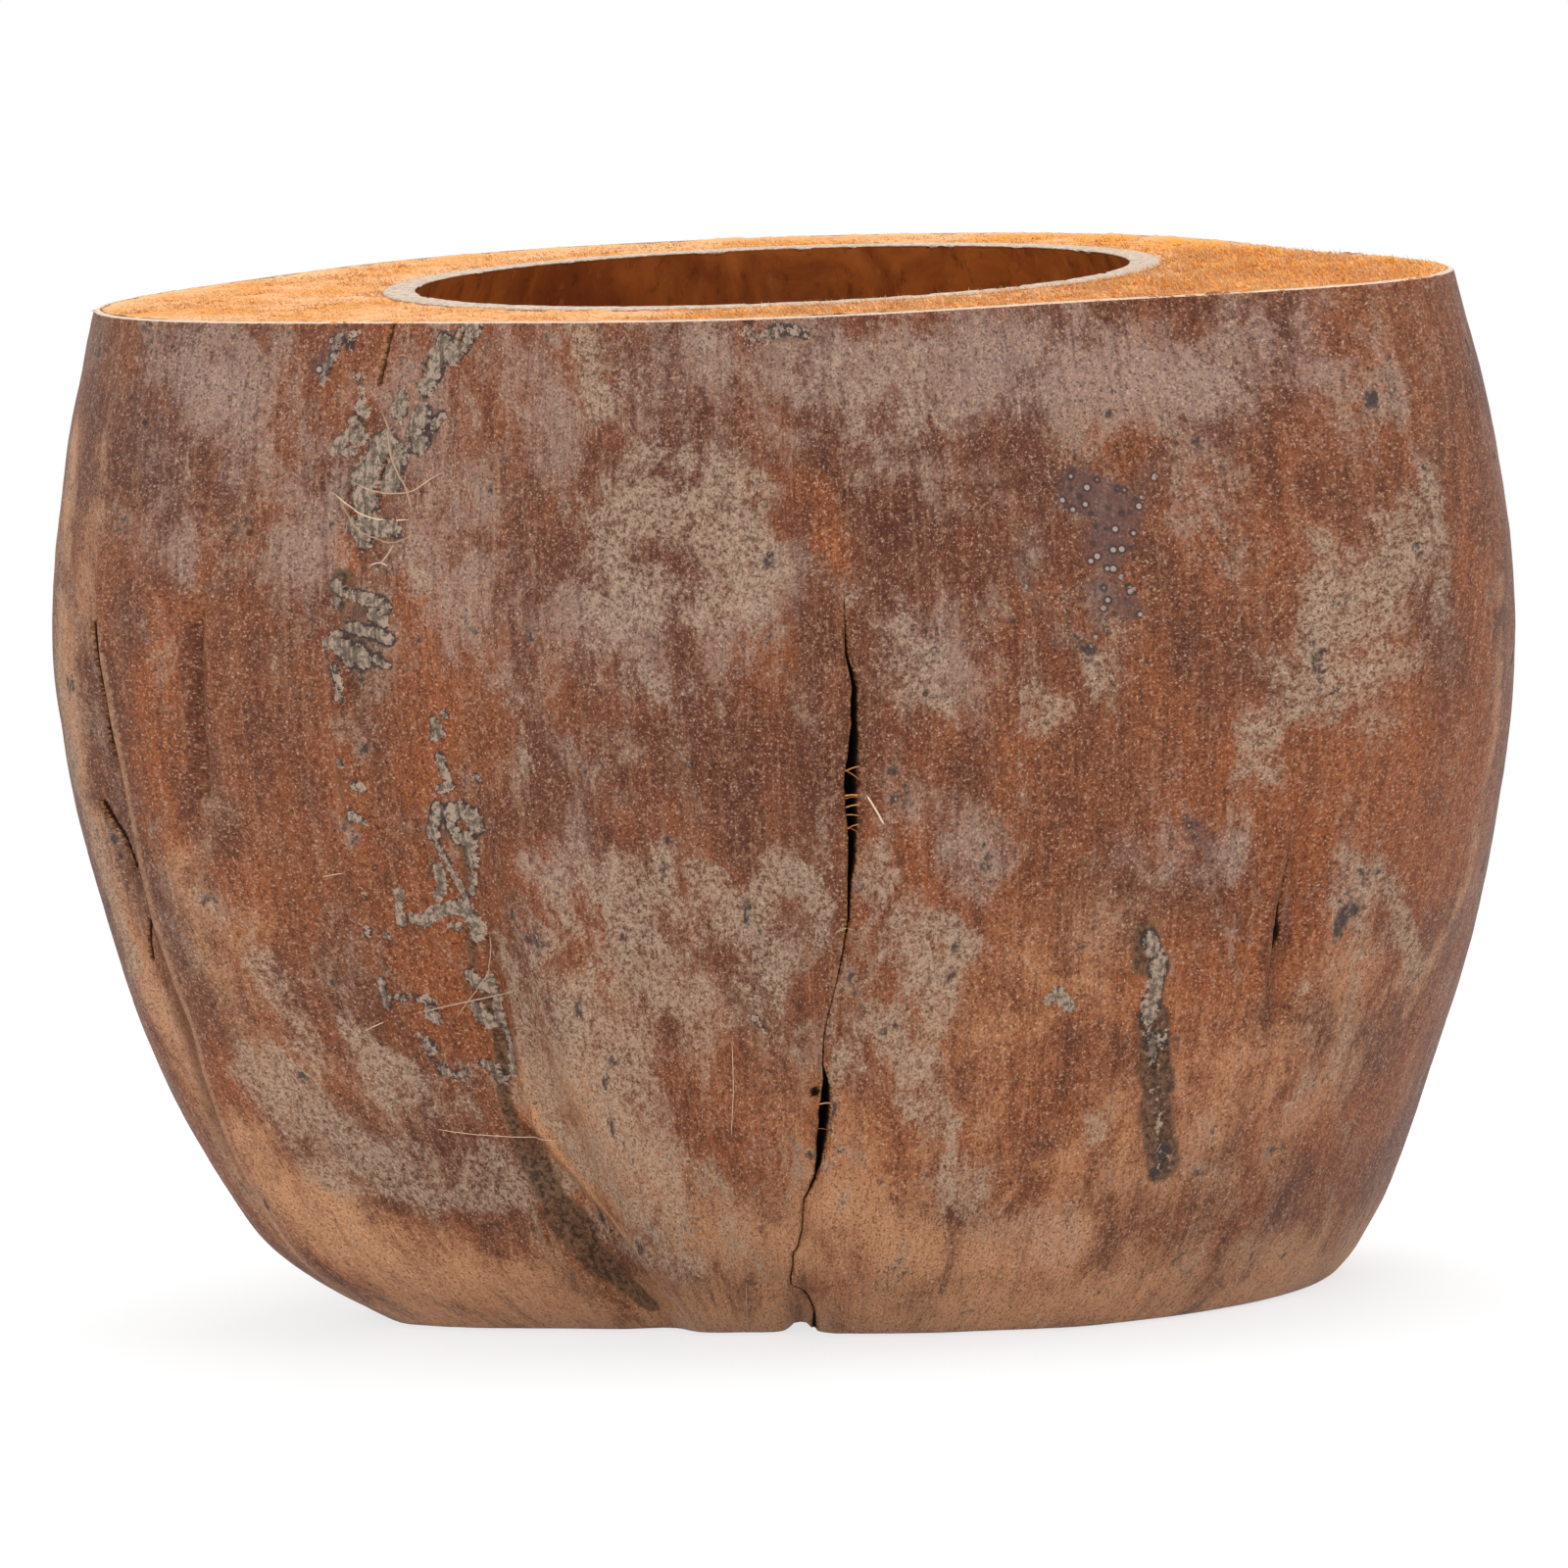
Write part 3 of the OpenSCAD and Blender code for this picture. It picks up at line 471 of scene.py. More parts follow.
def husk_radius(theta, heights):
    """Radius of the husk at the directions of theta, a row of them for each height."""
    slopes = np.gradient(FORM_GRID, FORM_ROWS, axis=0)
    low = np.searchsorted(FORM_ROWS, heights, side="right") - 1
    low = np.clip(low, 0, len(FORM_ROWS) - 2)
    span = (FORM_ROWS[low + 1] - FORM_ROWS[low])[:, None]
    u = (np.clip(heights, 0, HEIGHT) - FORM_ROWS[low])[:, None] / span
    rings = eased(
        u, FORM_GRID[low], FORM_GRID[low + 1], slopes[low] * span, slopes[low + 1] * span)
    count = rings.shape[1]
    turn = (np.roll(rings, -1, 1) - np.roll(rings, 1, 1)) / 2
    place = (theta % 360) / 360 * count
    left = np.floor(place).astype(int)
    ends = [
        np.take_along_axis(table, column % count, 1)
        for table in (rings, turn) for column in (left, left + 1)
    ]
    return eased(place - left, *ends)


def radius_round(theta, height):
    """Radius of the husk at one height, in many directions."""
    return husk_radius(np.atleast_2d(theta), np.array([height]))[0]


def distance_to(theta, heights, reach, path):
    """Distance in mm over the skin from each point of a patch to a path."""
    middle = path[:, 0].mean()
    x = np.radians(theta - middle) * reach
    z = np.broadcast_to(heights[:, None], theta.shape)
    near = np.full(theta.shape, 1e9)
    ends = np.stack([np.radians(path[:, 0] - middle) * reach.mean(), path[:, 1]], 1)
    for a, b in zip(ends[:-1], ends[1:]):
        step = b - a
        share = ((x - a[0]) * step[0] + (z - a[1]) * step[1]) / max(step @ step, 1e-9)
        share = np.clip(share, 0, 1)
        away = np.hypot(x - a[0] - share * step[0], z - a[1] - share * step[1])
        near = np.minimum(near, away)
    return near


# The skin is nowhere closer to the axis than this, in mm
SMALLEST_RADIUS = 50


def patches_of(theta, heights, reach, strokes, margin):
    """For each stroke its width, its strength, the patch of skin round it, and distances to it.

    The patch reaches out from the stroke by margin times its half width.
    """
    for half, strength, *path in strokes:
        path = np.reshape(path, (-1, 2))
        (left, low), (right, high) = path.min(0), path.max(0)
        rows = np.flatnonzero((heights > low - half * margin) & (heights < high + half * margin))
        turn = math.degrees(half * margin / SMALLEST_RADIUS) + 0.5
        close = (theta[rows] > left - turn) & (theta[rows] < right + turn)
        columns = np.flatnonzero(close.any(axis=0))
        if len(columns):
            rows = slice(rows[0], rows[-1] + 1)
            patch = rows, slice(columns[0], columns[-1] + 1)
            near = distance_to(theta[patch], heights[rows], reach[patch], path)
            yield half, strength, patch, near


def painted(theta, heights, reach, strokes, soft):
    """Strength at each point of the skin of strokes with edges that are so soft."""
    value = np.zeros(theta.shape)
    for half, strength, patch, near in patches_of(theta, heights, reach, strokes, 1 + soft):
        mark = strength * (1 - smoothstep(half * (1 - soft), half * (1 + soft), near))
        value[patch] = np.maximum(value[patch], mark)
    return value


def carved(theta, heights, reach, strokes):
    """Sum at each point of the skin of grooves and swellings with soft sides."""
    value = np.zeros(theta.shape)
    for half, rise, patch, near in patches_of(theta, heights, reach, strokes, 3):
        value[patch] += rise * hill(near, half)
    return value


def notch(theta):
    """Height of the notch in the edge of the foot."""
    return NOTCH_RISE * hill(theta - NOTCH_AT, NOTCH_SPREAD)


def column_directions(heights, half_left, half_right):
    """Directions of the skin's columns at each height, drawn together at the crack and lobe."""
    crack = along(heights, CRACK_PATH)
    lobe = along(heights, LOBE_PATH)
    one_mm = np.degrees(1 / husk_radius(np.stack([crack, lobe], 1), heights)).T
    # Columns beside the crack: share of its half width, and mm beyond its lip
    lips = [(0, 0), (0.35, 0), (0.7, 0), (0.92, 0), (1, 0.06), (1, 0.3), (1, 0.8), (1, 1.6)]
    left = [crack - (k * half_left + more) * one_mm[0] for k, more in reversed(lips)]
    right = [crack + (k * half_right + more) * one_mm[0] for k, more in lips[1:]]
    # Columns at the lobe: mm from its edge
    steps = (-2, -1.3, -0.8, -0.45, -0.2, 0, 0.12, 0.3, 0.55, 0.9, 1.4, 2)
    fold = [lobe + step * one_mm[1] for step in steps]

    # Between these and a few fixed directions, columns are spread evenly
    columns = np.full((len(heights), 1), 100.0)
    for count, stop in (
        (90, [186]), (76, fold), (34, [214]), (120, [246]), (76, left + right),
        (84, [308]), (72, [326]), (72, [350]), (124, [460]),
    ):
        stop = np.stack([np.broadcast_to(direction, heights.shape) for direction in stop], 1)
        between = np.linspace(columns[:, -1], stop[:, 0], count + 2, axis=1)[:, 1:-1]
        columns = np.concatenate([columns, between, stop], axis=1)
    return columns[:, :-1]


def skin_surface(looks):
    """Outside of the skin: directions, heights, radii and marks, row by row from the foot up."""
    # Rows lie closer together at the rim, where its edge is worn round
    rim = HEIGHT - np.array([0.36, 0.24, 0.12, 0.04, 0])
    heights = np.concatenate([np.linspace(0, HEIGHT - 0.5, looks.rows), rim])

    def column(table):
        """Values of a table at the rows' heights, one below the other."""
        return along(heights, table)[:, None]

    line = np.stack([0 * heights, 0 * heights, heights], 1)
    half = along(heights, CRACK_HALF_WIDTHS) * looks.crack_width / WIDEST_CRACK
    closed = smoothstep(0, 0.15, half)
    half_left, half_right = (
        np.maximum(half * (1 + share * layered(line, lump, seed, 4, 0.7)) + 0.05 * closed, 0.03)
        for share, lump, seed in LIP_LUMPS
    )
    theta = column_directions(heights, half_left, half_right)
    reach = husk_radius(theta, heights)
    grain = from_polar(theta, GRAIN_RADIUS, heights[:, None])

    # The front lobe stands over the fold, which takes the place of the solid's soft one
    filled = hill(theta - column(SOLID_FOLD_PATH), SOLID_FOLD_SPREAD)
    reach += column(SOLID_FOLD_DEPTHS) * filled
    beyond = np.radians(column(LOBE_PATH) - theta) * reach
    step, step_width, hollow_width = column(LOBE_STEPS), 0.6, 7.5
    hollow = np.exp(-(np.maximum(beyond, 0) / hollow_width) ** 1.6)
    reach -= step * smoothstep(0, step_width, beyond) * hollow
    reach += carved(theta, heights, reach, CREASES)

    # Wear and growth of the skin: slow lumps, the grain of the fibres and small pits
    grown = reach.copy()
    for rise, lump, seed in SKIN_LUMPS:
        reach += rise * layered(grain, lump, seed)
    pit_depth, crust_rise, crust_gap = 0.1, 0.26, 0.1
    reach -= pit_depth * smoothstep(0.35, 0.75, layered(grain, (1.3, 1.3, 2.2), 31))

    marks = {
        name: painted(theta, heights, grown, strokes, soft)
        for name, (soft, strokes) in MARKS.items()
    }
    # The lowest 2 cm are tan all round, in clouds: partly the skin's paler foot, partly painted
    # light that the pale floor would throw up
    low = 0.75 * (1 - smoothstep(1, 20, heights))[:, None] + 0.35 * layered(grain, 14, 47)
    marks["tan"] = np.maximum(marks["tan"], low)
    slit = painted(theta, heights, grown, SLITS, 0.5)
    reach -= slit
    crust = marks["chalk"] + 0.55 * layered(grain, (2.4, 2.4, 3.4), 37, 4, 0.75)
    reach += crust_rise * smoothstep(0.44, 0.58, crust)
    reach -= crust_gap * smoothstep(0.2, 0.4, crust) * (crust < 0.5)
    marks["chalk"] = crust

    # The crack: steep ragged walls down to a bottom painted dark as shade, deeper where it gapes
    depth = np.clip(6.5 * half, 0, looks.crack_depth)[:, None]
    side = np.radians(theta - column(CRACK_PATH)) * grown
    lip = np.where(side < 0, half_left[:, None], half_right[:, None])
    opened = closed[:, None] * (1 - smoothstep(0.4, 1.0, np.abs(side) / lip))
    reach -= depth * opened
    margin = closed[:, None] * (1 - smoothstep(0, 0.9, np.abs(side) - lip))
    frayed = margin * (0.16 + 0.1 * layered(grain, 0.8, 41, 2))
    # Painted shade: the crack darkens down to its bottom, most where it gapes, and the slits are
    # dark too
    dark = opened * (0.42 + 0.58 * smoothstep(0.1, 0.4, half))[:, None]
    marks["crevice"] = np.maximum(np.maximum(frayed, dark), np.clip(slit, 0, 1))
    # Painted shade: the fold just beyond the lobe's edge is darkened, as far as SHADE_REACHES
    # gives at each height
    shaded = smoothstep(0, 0.3, beyond)
    shaded *= 1 - smoothstep(0.4, 1.4, beyond / column(SHADE_REACHES))
    marks["hollow"] = shaded * np.minimum(step / 2.6, 1)
    # Painted highlight: a pale line on the lobe just before its edge, where its step is tall
    rubbed = smoothstep(-1.6, -0.5, beyond) * (1 - smoothstep(-0.1, 0.3, beyond))
    marks["lip"] = rubbed * (step > 1.5)

    # The skin is torn down a little at the right, and lifted at the notch of the foot
    turn = (theta + 180) % 360 - 180
    torn = smoothstep(-3, 0, turn) * (1 - smoothstep(18.5, 20, turn))
    torn = torn * (1.1 + 0.5 * layered(grain * (1, 1, 0), 2.5, 43, 2))
    z = np.broadcast_to(heights[:, None], theta.shape).copy()
    z -= torn * smoothstep(HEIGHT - 12, HEIGHT, z)
    z += notch(theta) * (1 - smoothstep(0, 7, z))
    reach -= column(WORN_BACK)
    cut = smoothstep(HEIGHT - 0.3, HEIGHT - 0.14, heights)
    marks["cut"] = np.broadcast_to(cut[:, None], theta.shape)
    return {"theta": theta, "z": z, "reach": reach, "marks": marks, "grain": grain}


def ring_faces(rings, columns, closed=False):
    """Quads between rings of points, listed up the outside, inward over the top and down."""
    steps = np.arange(rings if closed else rings - 1)
    j, i = np.meshgrid(steps, np.arange(columns), indexing="ij")
    up, on = (j + 1) % rings, (i + 1) % columns
    quads = [j * columns + i, j * columns + on, up * columns + on, up * columns + i]
    return np.stack(quads, -1).reshape(-1, 4)


def lathed_faces(rings, columns):
    """Quads between rings, and triangles from the first and the last ring to two end points."""
    i = np.arange(columns)
    on = (i + 1) % columns
    first, last = np.full(columns, rings * columns), np.full(columns, rings * columns + 1)
    top = (rings - 1) * columns
    ends = [np.stack([first, on, i], 1), np.stack([last, top + i, top + on], 1)]
    return [ring_faces(rings, columns), np.concatenate(ends)]


def lathed(around, rings):
    """Points of rings of (radius, height, more), and all of these as rows of numbers."""
    columns = [
        np.array([np.broadcast_to(value, around.shape) for value in column])
        for column in zip(*rings)
    ]
    theta = np.tile(around, (len(rings), 1))
    return from_polar(theta, *columns[:2]), *columns


def with_ends(values, first, last):
    """Points or marks of rings, then those of the two end points."""
    values = np.asarray(values, float)
    rows = values.reshape(-1, *np.shape(first))
    return np.concatenate([rows, np.array([first, last], float)])


def make_piece(name, points, faces, material, stands_for=(), marks=None):
    """Makes a smooth mesh piece from points in mm and arrays of faces, and frames it."""
    mesh = bpy.data.meshes.new(name)
    mesh.vertices.add(len(points))
    mesh.vertices.foreach_set("co", (np.asarray(points) * MM).astype(np.float32).ravel())
    corners = np.concatenate([f.ravel() for f in faces]).astype(np.int32)
    sizes = np.concatenate([np.full(len(f), f.shape[1]) for f in faces])
    starts = np.concatenate([[0], np.cumsum(sizes)[:-1]]).astype(np.int32)
    mesh.loops.add(len(corners))
    mesh.loops.foreach_set("vertex_index", corners)
    mesh.polygons.add(len(sizes))
    mesh.polygons.foreach_set("loop_start", starts)
    mesh.update(calc_edges=True)
    for mark, values in (marks or {}).items():
        values = np.asarray(values, np.float32)
        kind, key = ("FLOAT_VECTOR", "vector") if values.ndim > 1 else ("FLOAT", "value")
        mesh.attributes.new(mark, kind, "POINT").data.foreach_set(key, values.ravel())
    mesh.polygons.foreach_set("use_smooth", np.ones(len(sizes), bool))
    mesh.materials.append(material)
    piece = bpy.data.objects.new(name, mesh)
    bpy.context.scene.collection.objects.link(piece)
    if stands_for:
        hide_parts(*stands_for)
    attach(piece, "root")
    return piece


def linear(code):
    """Linear RGB of an sRGB hex colour such as #a07e70."""
    parts = [int(code[i:i + 2], 16) / 255 for i in (1, 3, 5)]
    return tuple(p / 12.92 if p <= 0.04045 else ((p + 0.055) / 1.055) ** 2.4 for p in parts)


def opaque(value):
    """The four numbers of a colour for a socket, from a hex code or three linear numbers."""
    return (*(linear(value) if isinstance(value, str) else value), 1.0)


def add(material, kind, inputs=None, **settings):
    """Adds a shader node with its settings, and fills its inputs with values or links."""
    tree = material.node_tree
    node = tree.nodes.new("ShaderNode" + kind)
    for key, value in settings.items():
        setattr(node, key, value)
    for key, value in (inputs or {}).items():
        live = [s for s in node.inputs if s.enabled]
        socket = live[key] if isinstance(key, int) else next(s for s in live if s.name == key)
        if isinstance(value, bpy.types.Node):
            value = next(s for s in value.outputs if s.enabled)
        if isinstance(value, bpy.types.NodeSocket):
            tree.links.new(value, socket)
        else:
            socket.default_value = value
    return node


def new_material(name):
    """An empty node material."""
    material = bpy.data.materials.new(name)
    material.use_nodes = True
    material.node_tree.nodes.clear()
    return material


def per_mm(size):
    """Scale of a pattern whose lumps are that many millimetres across."""
    return 1000 / size


SMOOTH = {"interpolation_type": "SMOOTHSTEP"}


def coat(m, below, above, value, low, high, most=1.0):
    """Lays one colour over another, more of it as value goes from low to high."""
    below, above = (c if isinstance(c, bpy.types.Node) else opaque(c) for c in (below, above))
    share = add(m, "MapRange", {0: value, 1: low, 2: high, 3: 0.0, 4: most}, **SMOOTH)
    return add(m, "Mix", {0: share, 1: below, 2: above}, data_type="RGBA")


def coats(m, base, *layers):
    """Lays colours over a base in turn: the colour, value, low, high and most of each."""
    for layer in layers:
        base = coat(m, base, *layer)
    return base


def uneven(m, value, pattern, weight):
    """A painted mark, pushed up and down by a pattern round the pattern's middle value."""
    middle = add(m, "Math", {0: pattern, 1: 0.5}, operation="SUBTRACT")
    return add(m, "Math", {0: middle, 1: weight, 2: value}, operation="MULTIPLY_ADD")


def relief(m, strength, *parts):
    """A bump from patterns and their heights in metres."""
    height = 0.0
    for pattern, depth in parts:
        height = add(m, "Math", {0: pattern, 1: depth, 2: height}, operation="MULTIPLY_ADD")
    return add(m, "Bump", {"Strength": strength, "Distance": 1.0, "Height": height})


def finished(m, base, **inputs):
    """Ends a material in its surface shader, with the settings given by their socket names."""
    values = {key.replace("_", " "): value for key, value in inputs.items()}
    surface = add(m, "BsdfPrincipled", {"Base Color": base, **values})
    add(m, "OutputMaterial", {"Surface": surface})
    return m


def skin_material(looks):
    """Dry coconut skin, weathered and rubbed: satin, with a grain of fibres and patchy films."""
    m = new_material("dried_husk_skin_weathered")
    place = add(m, "Attribute", attribute_name="grain").outputs["Vector"]
    mark = {
        name: add(m, "Attribute", attribute_name=name).outputs["Fac"]
        for name in (*MARKS, "crevice", "hollow", "lip", "cut")
    }
    # Patterns are drawn out up the fruit by shrinking its height
    long_way, tall, broad = (
        add(m, "VectorMath", {0: place, 1: (1, 1, squeeze)}, operation="MULTIPLY")
        for squeeze in (0.07, 0.45, 0.7)
    )

    # Patterns: wide clouds, ragged films, blotches, the fibres' grain, crumbs and fine specks.
    # The specks are coarser than the real ones, so that they show
    cloud, veil, blotch, grain, crumb, speck = (
        add(m, "TexNoise", {
            "Vector": space, "Scale": per_mm(size), "Detail": detail, "Roughness": rough,
            "Distortion": warp})
        for space, size, detail, rough, warp in (
            (tall, 21, 5, 0.68, 0), (broad, 9, 8, 0.76, 0.4), (broad, 4.6, 7, 0.74, 0.5),
            (long_way, 0.9, 4, 0.7, 0), (place, 0.85, 4, 0.76, 0), (place, 0.34, 2, 0.6, 0),
        )
    )
    bead = add(m, "TexVoronoi", {"Vector": place, "Scale": per_mm(1.7), "Randomness": 0.9})
    dot = add(m, "TexVoronoi", {"Vector": place, "Scale": per_mm(13), "Randomness": 1.0})

    def ragged(name, pattern, weight):
        """A painted mark whose edge is torn by a pattern."""
        return uneven(m, mark[name], pattern, weight)

    cleared = add(m, "Math", {0: mark["rust"], 1: -0.12, 2: veil}, operation="MULTIPLY_ADD")

    base = coats(
        m, looks.deep,
        # Colours of the skin itself
        (looks.bare, cloud, 0.4, 0.6),
        (looks.rust, ragged("rust", blotch, 1.3), 0.15, 0.95, 0.9),
        (looks.tan, ragged("tan", veil, 2.0), 0.1, 1.1, 0.9),
        (looks.maroon, ragged("maroon", blotch, 1.6), 0.25, 0.95, 0.85),
        ("#80492c", blotch, 0.5, 0.36, 0.3),
        # Its bloom: a grey film, torn by wear, thin almost everywhere and closed near the rim; its
        # mauve is partly painted sheen
        (looks.mauve, ragged("mauve", veil, 4.0), 0.2, 1.15, 0.8),
        ("#94745f", cleared, 0.49, 0.62, 0.55),
        ("#4d2a1f", veil, 0.48, 0.34, 0.55),
        # The grain of the fibres and the crumbly surface
        ("#4a2a1b", grain, 0.49, 0.35, 0.42),
        ("#b4896a", grain, 0.53, 0.66, 0.24),
        ("#3a1e13", crumb, 0.49, 0.36, 0.42),
        ("#bd9474", crumb, 0.52, 0.66, 0.34),
        (looks.tan, ragged("tan", veil, 1.5), 0.3, 1.1, 0.55),
    )

    # Dust, thick in patches and cracked into crumbs
    film, cracked = (
        add(m, "MapRange", {0: value, 1: low, 2: high, 3: least, 4: 1.0}, **SMOOTH)
        for value, low, high, least in (
            (ragged("dust", veil, 4.0), 0.08, 1.0, 0.0), (crumb, 0.36, 0.5, 0.3))
    )
    film = add(m, "Math", {0: film, 1: cracked}, operation="MULTIPLY")
    dusty = coat(m, "#775e4c", looks.dust, crumb, 0.4, 0.55)
    thick = coat(m, "#8f7365", dusty, film, 0.2, 0.8)

    soiled = coat(m, "#2b1e15", "#6e5039", crumb, 0.4, 0.6)
    patches = uneven(m, ragged("soil", crumb, 1.8), blotch, 2.4)
    crust = ragged("chalk", crumb, 1.9)
    crusted = coats(
        m, "#6a5e50", (looks.crust, crumb, 0.44, 0.56), ("#54453a", grain, 0.49, 0.39, 0.65))
    room = add(m, "MapRange", {
        0: ragged("bead", crumb, 1.2), 1: 0.3, 2: 0.6, 3: 0.0, 4: 1.0}, **SMOOTH)
    ring, core = (
        add(m, "Math", {0: add(m, "MapRange", {0: bead, 1: far, 2: near}, **SMOOTH), 1: room},
            operation="MULTIPLY")
        for far, near in ((0.5, 0.3), (0.26, 0.18))
    )
    frayed = coat(m, "#4b2a18", "#a36d3c", speck, 0.45, 0.6)
    base = coats(
        m, base,
        (thick, film, 0.0, 1.0, 0.74),
        # Specks: painted glints, as of fibre ends that catch the light, and dark pits beside them
        ("#2a140d", speck, 0.45, 0.34, 0.66),
        ("#dcc0aa", speck, 0.58, 0.7, 0.46),
        # Soil, painted shade in the fold beside the lobe, and a painted highlight on the lobe's
        # lip
        (soiled, patches, 0.45, 1.05, 0.85),
        ("#5f3a22", ragged("hollow", blotch, 0.9), 0.2, 1.0, 0.65),
        ("#b98f70", ragged("lip", crumb, 1.5), 0.3, 1.2, 0.5),
        # Limy crusts with torn edges, in blue black seams that come and go
        ("#352c2d", ragged("chalk", veil, 2.2), 0.29, 0.5, 0.88),
        (crusted, crust, 0.48, 0.53),
        # Small pale beads in dark rings, and a few lone dark dots
        ("#584645", ragged("bead", blotch, 0.8), 0.2, 0.9, 0.62),
        ("#3b2d2d", ring, 0.0, 1.0, 0.75),
        ("#a2928a", core, 0.0, 1.0),
        ("#2c1c1a", dot, 0.045, 0.028, 0.8),
        # The crack and slits: golden frayed lips, and painted shade, brown on the walls and black
        # at the bottom
        (frayed, mark["crevice"], 0.06, 0.22, 0.75),
        ("#2a150b", mark["crevice"], 0.25, 0.5),
        ("#080403", mark["crevice"], 0.5, 0.9),
        (looks.edge, ragged("cut", crumb, 1.0), 0.35, 0.7, 0.9),
    )

    glossy, satin, matt, dead_matt = ((v, v, v) for v in (0.29, 0.48, 0.8, 0.95))
    dull = coats(
        m, satin, (glossy, mark["mauve"], 0.2, 1.0, 0.7), (matt, film, 0.0, 1.0),
        (matt, crust, 0.4, 0.55), (dead_matt, mark["crevice"], 0.05, 0.3))
    bump = relief(m, 0.95, (speck, 0.0004), (grain, 0.00035), (crumb, 0.0007), (blotch, 0.0007))
    return finished(m, base, Roughness=dull, IOR=1.45, Specular_IOR_Level=0.2, Normal=bump)


def coir_material(looks):
    """Sawn coir: matt orange tan, with the ends of the fibres and the pith between them."""
    m = new_material("coir_husk_sawn")
    place = add(m, "TexCoord").outputs["Object"]
    tone, rind = (
        add(m, "Attribute", attribute_name=name).outputs["Fac"] for name in ("tone", "rind"))
    patch, pith = (
        add(m, "TexNoise", {
            "Vector": place, "Scale": per_mm(size), "Detail": detail, "Roughness": rough})
        for size, detail, rough in ((14, 5, 0.6), (0.8, 4, 0.65))
    )
    ends = add(m, "TexVoronoi", {"Vector": place, "Scale": per_mm(0.9), "Randomness": 1.0})
    base = coats(
        m, looks.deep,
        (looks.light, patch, 0.35, 0.65),
        ("#b8712f", pith, 0.46, 0.32, 0.5),
        ("#f8d3a4", ends, 0.34, 0.12, 0.55),
        ("#fbd9ae", tone, 0.4, 1.0, 0.7),
        ("#f0982a", tone, 0.42, 0.15, 0.95),
        ("#e3bb86", rind, 0.2, 1.0, 0.5),
    )
    bump = relief(m, 0.8, (pith, 0.0004), (ends, -0.0004))
    return finished(m, base, Roughness=0.92, IOR=1.4, Specular_IOR_Level=0.25, Normal=bump)


def shell_material(looks):
    """Coconut shell: semi gloss brown where the flesh was scraped off, pale where it is sawn."""
    m = new_material("coconut_shell_scraped_and_sawn")
    place = add(m, "TexCoord").outputs["Object"]
    sawn, outer = (
        add(m, "Attribute", attribute_name=name).outputs["Fac"] for name in ("sawn", "outer"))
    flat = add(m, "VectorMath", {0: place, 1: (1, 1, 0.45)}, operation="MULTIPLY")
    cloud, vein, grit = (
        add(m, "TexNoise", {
            "Vector": space, "Scale": per_mm(size), "Detail": detail, "Roughness": rough,
            "Distortion": warp})
        for space, size, detail, rough, warp in (
            (flat, 11, 7, 0.62, 0.7), (flat, 2.2, 5, 0.7, 0), (place, 0.7, 4, 0.7, 0))
    )
    lip = coats(m, "#94806c", (looks.sawn, grit, 0.36, 0.6), ("#a08b76", vein, 0.52, 0.64, 0.6))
    base = coats(
        m, looks.deep,
        (looks.amber, cloud, 0.36, 0.64),
        ("#4d2510", vein, 0.47, 0.33, 0.5),
        ("#b2763f", vein, 0.56, 0.72, 0.45),
        ("#6b4326", outer, 0.0, 1.0),
        (lip, sawn, 0.0, 1.0),
    )
    dull = coat(m, (0.34, 0.34, 0.34), (0.75, 0.75, 0.75), sawn, 0.0, 1.0)
    bump = relief(m, 0.7, (vein, 0.00035), (grit, 0.00006))
    return finished(m, base, Roughness=dull, IOR=1.5, Normal=bump)


def membrane_material(looks):
    """Dried membrane of a germ pore: thin, matt, dark brown and wrinkled."""
    m = new_material("germ_pore_membrane_dried")
    place = add(m, "TexCoord").outputs["Object"]
    wrinkles = add(m, "TexNoise", {
        "Vector": place, "Scale": per_mm(1.6), "Detail": 5, "Roughness": 0.7})
    base = coat(m, "#24130b", looks.pore, wrinkles, 0.35, 0.65)
    return finished(m, base, Roughness=0.7, IOR=1.45, Normal=relief(m, 0.8, (wrinkles, 0.0004)))


def fibre_material(name, dark, light):
    """Loose dry fibre: stiff and slightly glossy, each strand of its own tone."""
    m = new_material(name)
    tone = add(m, "Attribute", attribute_name="tone").outputs["Fac"]
    place = add(m, "TexCoord").outputs["Object"]
    streak = add(m, "TexNoise", {"Vector": place, "Scale": per_mm(0.8), "Detail": 2})
    base = coat(m, dark, light, uneven(m, tone, streak, 0.5), 0.0, 1.0)
    return finished(m, base, Roughness=0.6, IOR=1.45)


SURFACE = {}


def shared_surface(context):
    """The skin's surface, worked out once for all the pieces that need it."""
    if not SURFACE:
        SURFACE.update(skin_surface(context.scene.bowl_skin))
    return SURFACE


def on_skin(surface, path, lift):
    """Points on the skin at directions and heights, raised by lift in mm."""
    points = []
    levels = surface["z"][:, 0]
    for a, h in path:
        row = min(int(np.searchsorted(levels, h)), len(levels) - 1)
        r = np.interp(a, surface["theta"][row], surface["reach"][row]) + lift
        points.append(from_polar(a, r, h))
    return np.array(points)


def curve_through(points, count):
    """A smooth line of so many points through a few."""
    points = np.asarray(points, float)
    t = np.linspace(0, len(points) - 1, count)
    low = np.clip(t.astype(int), 0, len(points) - 2)
    slopes = np.gradient(points, axis=0)
    return eased(
        (t - low)[:, None], points[low], points[low + 1], slopes[low], slopes[low + 1])


